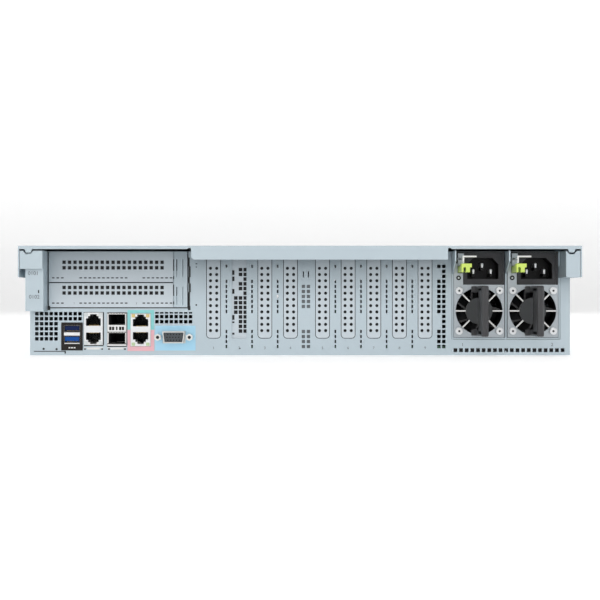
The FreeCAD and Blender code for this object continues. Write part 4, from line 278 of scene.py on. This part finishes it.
tinned = finish("tinned_shell", (0.74, 0.74, 0.72), (0.80, 0.80, 0.78), metal=0.75, rough=0.30,
                cloud=40, grain=(1500, 1500, 1500), relief=0.05)
coat_nodes(["usb_port_stack", "lan_port_stack", "service_port_stack", "sfp_cage"], tinned)
gold = finish("gold_fingers", (0.83, 0.58, 0.20), (0.90, 0.66, 0.28), metal=1.0, rough=0.25,
              cloud=200, grain=(2000, 2000, 2000), relief=0.03)
nylon = finish("white_nylon", (0.80, 0.80, 0.79), (0.86, 0.86, 0.85), metal=0.0, rough=0.35,
               cloud=80, grain=(1500, 1500, 1500), relief=0.05)
TONGUES = ((21.2, (0.004, 0.012, 0.06), (0.006, 0.018, 0.08)),
           (12.8, (0.004, 0.06, 0.28), (0.006, 0.08, 0.34)))
for index, (z, colour, shade) in enumerate(TONGUES):
    blue = finish(f"blue_tongue_{index + 1}", colour, shade, metal=0.0, rough=0.35, cloud=80,
                  grain=(1500, 1500, 1500), relief=0.05, coat=0.1)
    set_gloss(blue, 0.08)
    tongue = bmesh.new()
    bar(tongue, (174.9, 353, z - 1.55), (186.3, 366.2, z + 1.95), 0.3)
    joined(tongue, f"fast_port_tongue_{index + 1}", blue, "chassis")
    fingers = bmesh.new()
    for step in range(4):
        x = 177.0 + step * 2.4
        bar(fingers, (x - 0.5, 356, z - 1.75), (x + 0.5, 365.6, z - 1.5), 0.05)
    joined(fingers, f"fast_port_fingers_{index + 1}", gold, "chassis")
between = bmesh.new()
bar(between, (174.3, 366.4, 15.7), (186.9, 367.1, 18.2), 0.2)
bar(between, (174.5, 366.4, 9.1), (186.7, 366.8, 9.8), 0.2)
joined(between, "fast_port_bar", nylon, "chassis")
# Painted shade round each tongue inside its mouth, in the black film finish.
shades = bmesh.new()
for z in (21.2, 12.8):
    bar(shades, (174.36, 356, z + 2.0), (186.84, 366.3, z + 2.52), 0.05)
    bar(shades, (174.36, 356, z - 2.52), (186.84, 366.3, z - 2.1), 0.05)
    for x in (174.36, 186.46):
        bar(shades, (x, 356, z - 2.1), (x + 0.38, 366.3, z + 2.0), 0.05)
joined(shades, "fast_port_shades", black_film, "chassis")
pair_mark = bmesh.new()
for x in (178.6, 180.6, 182.6):
    bar(pair_mark, (x - 0.7, 366.6, 5.6), (x + 0.7, 366.72, 6.5), 0.05)
joined(pair_mark, "fast_port_mark", nylon, "chassis")


# ---- Network and service jacks
# Eight gold fingers lie in each mouth over painted shade lining its back and sides. The faces are
# white nylon with a lamp in each corner: clear at the network pair, amber and green at the service
# pair.
clear_lamp = finish("clear_lamp", (0.62, 0.66, 0.66), (0.70, 0.74, 0.74), metal=0.0, rough=0.15,
                    cloud=80, grain=(900, 900, 900), relief=0.03, coat=0.6)
amber_lamp = finish("amber_lamp", (0.62, 0.44, 0.14), (0.72, 0.56, 0.22), metal=0.0, rough=0.15,
                    cloud=80, grain=(900, 900, 900), relief=0.03, coat=0.6)
green_lamp = finish("green_lamp", (0.42, 0.55, 0.30), (0.55, 0.68, 0.40), metal=0.0, rough=0.15,
                    cloud=80, grain=(900, 900, 900), relief=0.03, coat=0.6)
# shade_black is painted shade: a near black that stands for the shade in gaps, holes, mouths and
# cavities.
shade_black = finish("shade_black", (0.006, 0.006, 0.007), (0.012, 0.012, 0.013), metal=0.0,
                   rough=0.7, cloud=60, grain=(800, 800, 800), relief=0.1)


FINGER_PITCH = 1.02                     # millimetres between the gold fingers of a jack
JACK_WALL = 5.8                         # height of a liner wall, and of a mouth's wide part
JACK_MOUTH = 5.9
FACE_FRONT = 0.36662


def jack_insides(name, x, width, mouths, high):
    """The gold fingers of two stacked mouths, and the painted shade lining them."""
    fingers = bmesh.new()
    mouth_shade = bmesh.new()
    half = width / 2
    for low, key_up in mouths:
        seat = low + 0.15 if key_up else low + high - 0.15
        lift = 0.35 if key_up else -0.35
        for step in range(8):
            at = x - 3.57 + FINGER_PITCH * step
            ends = sorted((seat, seat + lift))
            bar(fingers, (at - 0.22, 352.5, ends[0]), (at + 0.22, 364.8, ends[1]), 0.04)
        bar(mouth_shade, (x - half + 0.1, 350.2, low + 0.1),
            (x + half - 0.1, 350.5, low + high - 0.1), 0.05)
        for side in (-1, 1):
            wall = sorted((x + side * (half - 0.05), x + side * (half - 0.2)))
            bar(mouth_shade, (wall[0], 350.5, low + (0.1 if key_up else high - JACK_WALL)),
                (wall[1], 365.4, low + (JACK_WALL if key_up else high - 0.1)), 0.03)
    joined(fingers, f"{name}_fingers", gold, "chassis")
    joined(mouth_shade, f"{name}_liner", shade_black, "chassis")


jack_insides("network", 163.7, 11.7, ((23.4, True), (8.9, False)), 9.2)
jack_insides("service", 126.3, 12.2, ((22.9, True), (8.9, False)), 9.5)


def jack_face(name, x, width, low, high, mouth_width, mouths, mat):
    """The white face plate of a jack pair, open at both mouths and their keys."""
    half = mouth_width / 2
    windows = []
    for z, tall, key_up in mouths:
        main = (z, z + JACK_MOUTH) if key_up else (z + tall - JACK_MOUTH, z + tall)
        windows.append(((x - half) / 1000, (x + half) / 1000, main[0] / 1000, main[1] / 1000))
        key = (main[1] - 0.1, z + tall) if key_up else (z, main[0] + 0.1)
        windows.append(((x - 4.2) / 1000, (x + 4.2) / 1000, key[0] / 1000, key[1] / 1000))
    outer = ((x - width / 2) / 1000, (x + width / 2) / 1000, low / 1000, high / 1000)
    cut_label(name, outer, windows, FACE_FRONT, mat)


white_face = finish("jack_face", (0.78, 0.79, 0.80), (0.86, 0.87, 0.87), metal=0.0, rough=0.4,
                    cloud=60, grain=(1200, 1200, 1200), relief=0.05)
jack_face("network_face", 163.7, 14.5, 8.4, 33.7, 11.7,
          ((23.4, 9.2, True), (8.9, 9.2, False)), white_face)
jack_face("service_face", 126.3, 15.5, 7.4, 32.9, 12.2,
          ((22.9, 9.5, True), (8.9, 9.5, False)), white_face)
for label, x, low, high, upper, lower in (
        ("network", 163.7, 8.6, 33.5, clear_lamp, clear_lamp),
        ("service", 126.3, 7.6, 32.7, amber_lamp, green_lamp)):
    for word, mat, z in (("upper", upper, (high - 2.7, high)), ("lower", lower, (low, low + 2.5))):
        lamps = bmesh.new()
        for side in (-1, 1):
            wide = sorted((x + side * 4.4, x + side * 7.0))
            bar(lamps, (wide[0], 366.6, z[0]), (wide[1], 367.1, z[1]), 0.18)
        joined(lamps, f"{label}_lamps_{word}", mat, "chassis")
frame_trim = bmesh.new()
for x, width, low in ((163.7, 14.9, 5.1), (145.1, 15.1, 5.1)):
    bar(frame_trim, (x - width / 2, 366.05, low + 0.5), (x + width / 2, 366.3, low + 1.2), 0.08)
    bar(frame_trim, (x - width / 3, 366.05, low - 0.5), (x + width / 3, 366.3, low + 0.7), 0.08)
joined(frame_trim, "jack_ground_springs", tinned, "chassis")

# ---- Gaps and small holes in the rear wall
# Shut lines round the ports and the riser panel, and pierced dots too small to cut in the wall's
# own sheet. Each is painted shade: a dark inlay a hair proud of the plating, standing for the
# shade inside the gap or hole.
DOT_THICK = 0.0001


def disc(bm, x, y, z, radius, thick, sides, turned=1):
    """A disc that faces back, or front where turned is -1; x and z in millimetres."""
    return bmesh.ops.create_cone(bm, cap_ends=True, segments=sides, radius1=radius,
                                 radius2=radius, depth=thick,
                                 matrix=Matrix.Translation((x / 1000, y, z / 1000))
                                 @ Matrix.Rotation(turned * math.pi / 2, 4, "X"))


gaps = bmesh.new()
for back, inlays in (
        (366.02, ((155.4, 8.0, 156.05, 34.2), (155.8, 7.4, 171.3, 8.1), (137.3, 6.7, 152.9, 7.4),
                  (136.9, 8.0, 137.45, 33.9), (156.2, 4.4, 157.4, 6.2), (169.8, 4.4, 171.0, 6.2),
                  (138.0, 4.4, 139.4, 5.9), (150.7, 4.4, 152.1, 5.9), (186.3, 2.9, 210.9, 3.5),
                  (185.6, 1.4, 186.6, 3.5), (198.0, 35.8, 200.7, 39.2), (86.8, 35.8, 88.9, 39.0),
                  (87.2, 39.0, 88.4, 50.0), (86.6, 50.0, 88.0, 57.0), (87.3, 57.0, 88.4, 62.0),
                  (86.7, 62.0, 88.2, 70.5), (87.4, 70.5, 88.4, 77.6), (81.4, 72.2, 82.8, 72.9),
                  (81.8, 69.6, 82.6, 70.3))),
        (383.02, ((203.2, 49.2, 204.1, 51.6),))):
    for left, low, right, high in inlays:
        bar(gaps, (left, back, low), (right, back + 0.1, high), 0.03)
for x, z, radius in ((203.2, 5.1, 0.9), (192.9, 4.9, 0.9), (82.2, 39.9, 0.7), (47.6, 5.4, 0.5)):
    disc(gaps, x, 0.36606, z, radius / 1000, DOT_THICK, 16)
joined(gaps, "wall_gaps", shade_black, "chassis")

# ---- Painted shade behind the wall
# Black pads behind the vents, slots and shut lines, painted shade that stands for the dark seen
# through them and for the shadow line round each slot boss, and one grey steel shim behind the
# middle field of square holes.
SLOT_PITCH = 20.32
MESH_SLOT = 1                           # the second slot has an open mesh in place of a boss
shade_pads = bmesh.new()
bar(shade_pads, (-208.0, 364.5, 3.6), (-122.0, 364.8, 8.0), 0.05)
bar(shade_pads, (89.4, 364.65, 37.25), (199.6, 365.3, 38.05), 0.03)
bar(shade_pads, (100.8, 364.65, 57.25), (199.0, 365.3, 58.05), 0.03)
SLOTS = ([68.5 - step * SLOT_PITCH for step in range(4)]
         + [-17.86 - step * SLOT_PITCH for step in range(5)])
for index, x in enumerate(SLOTS):
    front = 363.55 if index == MESH_SLOT else 364.9
    bar(shade_pads, (x - 6.3, front - 0.25, 12.9), (x + 6.3, front, 79.9), 0.03)
for z, tall in ((65.6, 3.6), (60.7, 3.6), (50.7, 3.8), (30.0, 3.8), (26.2, 1.2), (17.1, 1.6)):
    bar(shade_pads, (52.0, 364.62, z - tall / 2), (53.8, 364.7, z + tall / 2), 0.03)
DASH_PITCH = 3.6
RISER_SLOTS = (38.1, 58.1)              # foot of each riser slot
for low in RISER_SLOTS:
    for start, count in ((102.2, 7), (137.8, 11), (188.4, 3)):
        for step in range(count):
            x = start + step * DASH_PITCH
            bar(shade_pads, (x - 1.02, 365.2, low + 2.88), (x + 1.02, 365.95, low + 3.72), 0.02)
SUPPLY_X = (-142.0, -184.5)
for x in SUPPLY_X:
    bar(shade_pads, (x - 20.35, 364.4, 14.03), (x + 20.35, 365.5, 14.35), 0.02)
for low in RISER_SLOTS:
    bar(shade_pads, (98.5, 364.2, low + 2.2), (199.0, 364.8, low + 4.6), 0.05)
    bar(shade_pads, (97.5, 364.2, low + 9.0), (196.5, 364.8, low + 18.0), 0.05)
joined(shade_pads, "panel_shade_pads", shade_black, "chassis")
grey_shim = finish("grey_shim", (0.13, 0.145, 0.155), (0.18, 0.195, 0.205), metal=0.0, rough=0.5,
                   cloud=60, grain=(1200, 1200, 1200), relief=0.05)
shim = bmesh.new()
bar(shim, (-10.2, 364.4, 5.0), (-0.1, 364.9, 62.0), 0.03)
joined(shim, "middle_shim", grey_shim, "chassis")

# ---- Module cages
# Two deep pressed cages with a white moulded bar between the mouths. The bar holds four
# small lamp windows, and the cages have spring fingers along their lips.
module_bar = bmesh.new()
bar(module_bar, (138.2, 366.4, 18.7), (152.0, 367.0, 23.9), 0.25)
joined(module_bar, "module_bar", nylon, "chassis")
marks = bmesh.new()
for x, wide in ((150.2, 0.9), (148.0, 0.9), (145.1, 0.6), (142.4, 0.9), (140.2, 0.9)):
    bar(marks, (x - wide, 366.95, 20.0), (x + wide, 367.08, 22.7), 0.05)
joined(marks, "module_lamps", black_film, "chassis")
rims = bmesh.new()
for z in (33.0, 8.8, 18.0):
    bar(rims, (137.7, 366.4, z), (152.5, 366.7, z + 0.7), 0.08)
joined(rims, "module_rims", black_film, "chassis")
springs = bmesh.new()
for z in (33.1, 17.9, 8.5):
    for step in range(6):
        x = 139.6 + step * 2.2
        bar(springs, (x - 0.7, 365.2, z), (x + 0.7, 366.8, z + 0.3), 0.08)
joined(springs, "module_springs", tinned, "chassis")
# Painted shade at the back and along the sides of both cage mouths.
wells = bmesh.new()
for low in (24.1, 9.4):
    bar(wells, (138.6, 324.2, low + 0.1), (151.6, 324.6, low + 8.3), 0.05)
    for x in (138.52, 151.5):
        bar(wells, (x, 324.6, low + 0.1), (x + 0.16, 365.0, low + 8.3), 0.03)
joined(wells, "module_wells", shade_black, "chassis")

# ---- Screen port
# A slanted steel shell round a dark insert with fifteen pin holes in three rows, held by
# two hexagonal jack nuts with threaded holes.
coat_nodes(["vga_port"], tinned)
SCREEN_X, SCREEN_Z = 99.8, 14.4
PIN_PITCH = 2.29
MIDDLE_ROW_SHIFT = 0.6
NUT_REACH = 12.5                        # from the port's middle to each jack nut
insert = bmesh.new()
bar(insert, (91.9, 369.5, 10.6), (107.7, 370.0, 18.2), 0.6)
screen_insert = finish("screen_insert", (0.05, 0.06, 0.07), (0.08, 0.09, 0.10), metal=0.0,
                       rough=0.5, cloud=80, grain=(1200, 1200, 1200), relief=0.06)
joined(insert, "screen_port_insert", screen_insert, "chassis")
# Painted shade: dark discs standing for the fifteen pin holes.
pin_holes = bmesh.new()
for row, z in enumerate((16.7, 14.4, 12.1)):
    for step in range(5):
        x = SCREEN_X + (step - 2) * PIN_PITCH + (MIDDLE_ROW_SHIFT if row == 1 else 0)
        disc(pin_holes, x, 0.37003, z, 0.00055, 0.00012, 12)
joined(pin_holes, "screen_port_holes", shade_black, "chassis")
for side in (-1, 1):
    nut = bmesh.new()
    disc(nut, SCREEN_X + side * NUT_REACH, 0.36880, SCREEN_Z, 0.0029, 0.0052, 6)
    crown = [face for face in nut.faces if face.calc_center_median().y > 0.3712]
    bmesh.ops.inset_region(nut, faces=crown, thickness=0.0011)
    joined(nut, f"screen_port_nut_{(side + 3) // 2}", tinned, "chassis")
# Painted shade in the threaded hole of each jack nut.
threads = bmesh.new()
for side in (-1, 1):
    disc(threads, SCREEN_X + side * NUT_REACH, 0.37142, SCREEN_Z, 0.0013, 0.0002, 20)
joined(threads, "screen_port_threads", shade_black, "chassis")

# ---- Power supplies
# Two pull-out cans of thin steel. The fan guards are white wire with silver pan screws over
# a dark motor plate, the cord wires are white, and the inlet, latch and grip are moulded.
supply_steel = finish("supply_steel", (0.41, 0.45, 0.48), (0.46, 0.50, 0.53), metal=0.55,
                      rough=0.42, cloud=20, grain=(900, 900, 2000), relief=0.08)
moulded_black = finish("moulded_black", (0.018, 0.018, 0.020), (0.028, 0.028, 0.031), metal=0.0,
                       rough=0.42, cloud=40, grain=(2200, 2200, 2200), relief=0.18)
grip_black = finish("grip_black", (0.030, 0.030, 0.033), (0.045, 0.045, 0.048), metal=0.0,
                    rough=0.38, cloud=60, grain=(2600, 2600, 2600), relief=0.20)
lime = finish("lime_tab", (0.56, 0.74, 0.10), (0.64, 0.80, 0.16), metal=0.0, rough=0.32, cloud=60,
              grain=(1500, 1500, 1500), relief=0.06, coat=0.2)
white_wire = finish("white_wire", (0.78, 0.78, 0.76), (0.84, 0.84, 0.82), metal=0.0, rough=0.35,
                    cloud=60, grain=(1500, 1500, 1500), relief=0.05, coat=0.2)
rotor_black = finish("rotor_black", (0.035, 0.035, 0.037), (0.05, 0.05, 0.053), metal=0.0,
                     rough=0.35, cloud=40, grain=(1500, 1500, 1500), relief=0.08)
silver = finish("screw_silver", (0.66, 0.67, 0.68), (0.74, 0.75, 0.76), metal=0.9, rough=0.30,
                cloud=200, grain=(2500, 2500, 2500), relief=0.05)
guard_paint = finish("guard_paint", (0.78, 0.78, 0.76), (0.84, 0.84, 0.82), metal=0.0, rough=0.38,
                     cloud=60, grain=(1500, 1500, 1500), relief=0.05)
inlet_black = finish("inlet_black", (0.035, 0.035, 0.038), (0.05, 0.05, 0.053), metal=0.0,
                     rough=0.42, cloud=40, grain=(2200, 2200, 2200), relief=0.12)
# Both carry painted shade further in: a painted shadow on the wire guard's feet and painted shade
# in the well of the inlet.
for shaded_finish, depth, deep in ((guard_paint, 0.36478, 0.02), (inlet_black, 0.3655, 0.003)):
    split = shaded_finish.node_tree
    skin = split.nodes["Principled BSDF"]
    spot = split.nodes.new("ShaderNodeTexCoord")
    axes = split.nodes.new("ShaderNodeSeparateXYZ")
    split.links.new(spot.outputs["Object"], axes.inputs["Vector"])
    step_at = split.nodes.new("ShaderNodeMath")
    step_at.operation = "GREATER_THAN"
    step_at.inputs[1].default_value = depth
    split.links.new(axes.outputs["Y"], step_at.inputs[0])
    shade_mix = split.nodes.new("ShaderNodeMix")
    shade_mix.data_type = "RGBA"
    shade_mix.inputs[6].default_value = (deep, deep, deep * 1.1, 1)
    split.links.new(step_at.outputs["Value"], shade_mix.inputs[0])
    split.links.new(skin.inputs["Base Color"].links[0].from_socket, shade_mix.inputs[7])
    split.links.new(shade_mix.outputs[2], skin.inputs["Base Color"])
    set_gloss(shaded_finish, 0.25)
plate_grey = finish("motor_plate", (0.03, 0.033, 0.035), (0.042, 0.045, 0.047), metal=0.0,
                    rough=0.55, cloud=60, grain=(1500, 1500, 1500), relief=0.06)
GRIP_TALL = 19.6                        # half the height of a grip
GRIP_ROOT = 14.6                        # where its two legs begin
LAMP_OFF, LAMP_Z = 16.3, 61.4
FAN_Z = 35.2
FAN_HOLE = 16                           # from the middle of the fan to its screws
PIN_WIDE, PIN_TALL = 1.05, 4.05
for number, x in enumerate(SUPPLY_X, 1):
    body = f"psu_{number}"
    z = FAN_Z
    coat_nodes([f"{body}_case"], supply_steel)
    coat_nodes([f"{body}_inlet"], inlet_black)
    coat_nodes([f"{body}_guard"], guard_paint)
    coat_nodes([f"{body}_rotor"], rotor_black)
    coat_nodes([f"{body}_latch"], lime)
    coat_nodes([f"{body}_retainer"], white_wire)
    grip = bmesh.new()
    bar(grip, (x - 2.8, 380.0, z - GRIP_TALL), (x + 2.8, 400.0, z + GRIP_TALL), 1.9)
    for low, high in ((z - GRIP_TALL, z - GRIP_ROOT), (z + GRIP_ROOT, z + GRIP_TALL)):
        bar(grip, (x - 2.8, 366.1, low), (x + 2.8, 399.0, high), 1.1)
        bar(grip, (x - 6.3, 366.1, low), (x + 6.3, 367.7, high), 0.5)
    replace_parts(joined(grip, f"supply_grip_{number}", grip_black, body),
                f"{body}_handle")
    surround = bmesh.new()
    bar(surround, (x + 12.5, 366.02, 72.9), (x + 19.9, 366.5, 82.3), 0.2)
    bar(surround, (x - 19.9, 366.02, 55.9), (x - 18.15, 366.5, 82.3), 0.2)
    bar(surround, (x - 18.2, 366.02, 81.55), (x + 12.6, 366.5, 82.3), 0.15)
    joined(surround, f"supply_surround_{number}", moulded_black, body)
    # Painted shade in the hole round the lamp.
    lamp = bmesh.new()
    disc(lamp, x + LAMP_OFF, 0.36610, LAMP_Z, 0.0019, 0.0003, 28)
    joined(lamp, f"supply_lamp_ring_{number}", shade_black, body)
    lens_cap = bmesh.new()
    bmesh.ops.create_uvsphere(lens_cap, u_segments=16, v_segments=10, radius=0.0008,
                              matrix=Matrix.Translation(((x + LAMP_OFF) / 1000, 0.3662,
                                                         LAMP_Z / 1000)))
    for face in lens_cap.faces:
        face.smooth = True
    joined(lens_cap, f"supply_lamp_{number}", clear_lamp, body)
    plate = bmesh.new()
    disc(plate, x, 0.36602, z, 0.0106, 0.0003, 64)
    rim = [edge for edge in plate.edges if len(edge.link_faces) == 2
           and edge.calc_face_angle() > 1]
    bmesh.ops.bevel(plate, geom=rim, offset=0.0001, offset_type="OFFSET", segments=1,
                    profile=0.5, affect="EDGES", material=-1)
    joined(plate, f"supply_motor_plate_{number}", plate_grey, body)
    screws = bmesh.new()
    # The sockets are painted shade: dark discs standing for the recess in each screw head.
    sockets = bmesh.new()
    for dx, dz in itertools.product((-FAN_HOLE, FAN_HOLE), repeat=2):
        made = disc(screws, x + dx, 0.36705, z + dz, 0.0030, 0.0022, 32, -1)
        crown = list({edge for vert in made["verts"] if vert.co.y > 0.367
                      for edge in vert.link_edges
                      if all(end.co.y > 0.367 for end in edge.verts)})
        bmesh.ops.bevel(screws, geom=crown, offset=0.0006, offset_type="OFFSET", segments=4,
                        profile=0.6, affect="EDGES", material=-1)
        disc(sockets, x + dx, 0.36820, z + dz, 0.00095, 0.0001, 6)
    joined(screws, f"supply_screws_{number}", silver, body)
    joined(sockets, f"supply_screw_sockets_{number}", plate_grey, body)
    pins = bmesh.new()
    middle = x - 2.8
    for dx, low in ((0, 69.2), (-7, 64.4), (7, 64.4)):
        bar(pins, (middle + dx - PIN_WIDE, 351.0, low - 0.05),
            (middle + dx + PIN_WIDE, 362.7, low + PIN_TALL), 0.6)
    joined(pins, f"supply_pins_{number}", silver, body)

# ---- Board, memory and cooling inside
# A green glass board with black sockets, green memory sticks, two finned coolers and a
# black air duct, behind four black fans.
board_green = finish("board_green", (0.015, 0.10, 0.045), (0.025, 0.14, 0.06), metal=0.0,
                     rough=0.35, cloud=120, grain=(700, 700, 700), relief=0.12, coat=0.3)
coat_nodes(["motherboard", "backplane", "memory_modules"], board_green)
mill_fins = finish("mill_fins", (0.70, 0.71, 0.73), (0.78, 0.79, 0.80), metal=0.9, rough=0.32,
                   cloud=60, grain=(300, 3000, 300), relief=0.08)
coat_nodes(["heatsinks"], mill_fins)
coat_nodes(["board_sockets", "fan_frames", "air_duct"], moulded_black)
coat_nodes([f"fan_rotor_{k}" for k in range(1, 5)], rotor_black)

# ---- Drives, trays and front grille
# Black moulded tray fronts with a black lever each, a blue ribbed thumb tab on it and two
# green lamps, over cast drive bodies. The steel grille above is powder coated black.
drive_grey = finish("drive_cast", (0.50, 0.51, 0.53), (0.58, 0.59, 0.60), metal=0.85, rough=0.42,
                    cloud=90, grain=(1500, 1500, 1500), relief=0.14)
black_powder = finish("black_powder", (0.022, 0.022, 0.024), (0.034, 0.034, 0.036), metal=0.0,
                      rough=0.55, cloud=60, grain=(3000, 3000, 3000), relief=0.25)
button_grey = finish("button_grey", (0.30, 0.31, 0.33), (0.36, 0.37, 0.39), metal=0.0, rough=0.4,
                     cloud=60, grain=(2000, 2000, 2000), relief=0.08)
lever_blue = finish("lever_blue", (0.03, 0.13, 0.38), (0.04, 0.17, 0.44), metal=0.0, rough=0.4,
                    cloud=60, grain=(2000, 2000, 2000), relief=0.12)
for k in range(1, 5):
    coat_nodes([f"drive_{k}"], drive_grey)
    coat_nodes([f"drive_tray_{k}", f"tray_lever_{k}"], moulded_black)
coat_nodes(["front_grille"], black_powder)
lamp_green = finish("lamp_green", (0.08, 0.50, 0.16), (0.12, 0.60, 0.20), metal=0.0, rough=0.25,
                    cloud=60, grain=(2000, 2000, 2000), relief=0.03, coat=0.3)
for k, x in enumerate((-157.5, -52.5, 52.5, 157.5), 1):
    thumb = bmesh.new()
    bar(thumb, (x + 31.5, -391.0, 8.6), (x + 40.3, -388.5, 21.4), 0.6)
    for step in range(4):
        low = 10.4 + step * 2.6
        bar(thumb, (x + 32.6, -391.4, low), (x + 39.2, -390.9, low + 1.2), 0.15)
    joined(thumb, f"tray_thumb_tab_{k}", lever_blue, f"tray_{k}_handle")
    lamps = bmesh.new()
    for z in (25.6, 21.6):
        bar(lamps, (x + 43.6, -384.25, z - 0.7), (x + 46.4, -383.9, z + 0.7), 0.15)
    joined(lamps, f"tray_lamps_{k}", lamp_green, f"tray_{k}")
    label = bmesh.new()
    bar(label, (x - 44.5, -384.12, 23.4), (x - 38.5, -383.9, 27.4), 0.05)
    joined(label, f"tray_label_{k}", button_grey, f"tray_{k}")

# ---- Ears, buttons, lid latch and studs
# Moulded black ear housings with flip doors, two grey buttons and three green lamps, a blue
# lid latch and bright steel studs and screws.
coat_nodes(["left_ear", "right_ear", "left_ear_latch", "right_ear_latch"], moulded_black)
coat_nodes(["power_button", "id_button"], button_grey)
coat_nodes(["cover_latch"], lever_blue)
coat_nodes(["fasteners"], silver)
ear_lamps = bmesh.new()
for x in (226.1, 230.5, 234.9):
    bar(ear_lamps, (x - 0.8, -395.8, 70.9), (x + 0.8, -395.5, 71.9), 0.1)
joined(ear_lamps, "ear_lamps", lamp_green, "chassis")

# ---- Studio
# A seamless pale sweep under and round the server, soft panels above and beside it, and a
# long lens level with the middle of the rear wall.
sweep = bmesh.new()
PROFILE = ((0, 0, 0), (4.0, 0, 0), (5.2, 0, 0.12), (6.1, 0, 0.5), (6.8, 0, 1.2), (7.2, 0, 2.2),
           (7.4, 0, 4.0))
points = [sweep.verts.new(point) for point in PROFILE]
for first, second in zip(points, points[1:]):
    sweep.edges.new((first, second))
bmesh.ops.spin(sweep, geom=sweep.verts[:] + sweep.edges[:], cent=(0, 0, 0), axis=(0, 0, 1),
               angle=math.tau, steps=64, use_merge=True)
bmesh.ops.remove_doubles(sweep, verts=sweep.verts[:], dist=0.0001)
bmesh.ops.recalc_face_normals(sweep, faces=sweep.faces[:])
floor_mesh = bpy.data.meshes.new("floor")
sweep.to_mesh(floor_mesh)
sweep.free()
floor = bpy.data.objects.new("floor", floor_mesh)
bpy.context.scene.collection.objects.link(floor)
floor_paint = finish("floor_paint", (0.90, 0.90, 0.90), (0.91, 0.91, 0.91), metal=0.0, rough=0.8,
                     cloud=2, grain=(50, 50, 50), relief=0.0)
glow = floor_paint.node_tree
paint = glow.nodes["Principled BSDF"]
paint.inputs["Emission Color"].default_value = (1, 1, 1, 1)
height = glow.nodes.new("ShaderNodeTexCoord")
upward = glow.nodes.new("ShaderNodeSeparateXYZ")
glow.links.new(height.outputs["Object"], upward.inputs["Vector"])
strength = glow.nodes.new("ShaderNodeMapRange")
strength.inputs["From Min"].default_value = 0.02
strength.inputs["From Max"].default_value = 1.2
strength.inputs["To Min"].default_value = 0.38
strength.inputs["To Max"].default_value = 0.72
glow.links.new(upward.outputs["Z"], strength.inputs["Value"])
glow.links.new(strength.outputs["Result"], paint.inputs["Emission Strength"])
floor_mesh.materials.append(floor_paint)
for face in floor_mesh.polygons:
    face.use_smooth = True
world = bpy.data.worlds.new("studio")
bpy.context.scene.world = world
world.use_nodes = True
world.node_tree.nodes["Background"].inputs["Color"].default_value = (0.96, 0.98, 1.0, 1)
world.node_tree.nodes["Background"].inputs["Strength"].default_value = 0.05
for name, spot, aim, wide, tall, watts in (
        ("panel_rear", (0.3, 2.2, 1.9), (0, 0.36, 0.05), 1.6, 1.2, 14),
        ("panel_front", (-0.3, -2.2, 1.9), (0, -0.36, 0.05), 1.6, 1.2, 14),
        ("panel_top", (0, 0, 2.6), (0, 0, 0), 4.0, 4.0, 20),
        ("panel_left", (2.4, 0.5, 0.9), (0.2, 0, 0.05), 1.0, 0.8, 12),
        ("panel_right", (-2.4, 0.5, 0.9), (-0.2, 0, 0.05), 1.0, 0.8, 12)):
    lamp = bpy.data.lights.new(name, "AREA")
    lamp.shape = "RECTANGLE"
    lamp.size = wide
    lamp.size_y = tall
    lamp.energy = watts
    holder = bpy.data.objects.new(name, lamp)
    bpy.context.scene.collection.objects.link(holder)
    holder.location = spot
    holder.rotation_euler = (Vector(aim) - Vector(spot)).to_track_quat("-Z", "Y").to_euler()
lens = bpy.data.cameras.new("camera")
lens.lens = 75.7
lens.sensor_width = 36
lens.clip_end = 50
camera = bpy.data.objects.new("camera", lens)
bpy.context.scene.collection.objects.link(camera)
camera.location = (0, 1.366, 0.04385)
camera.rotation_euler = (math.pi / 2, 0, math.pi)
bpy.context.scene.camera = camera
bpy.context.scene.view_settings.view_transform = "Standard"
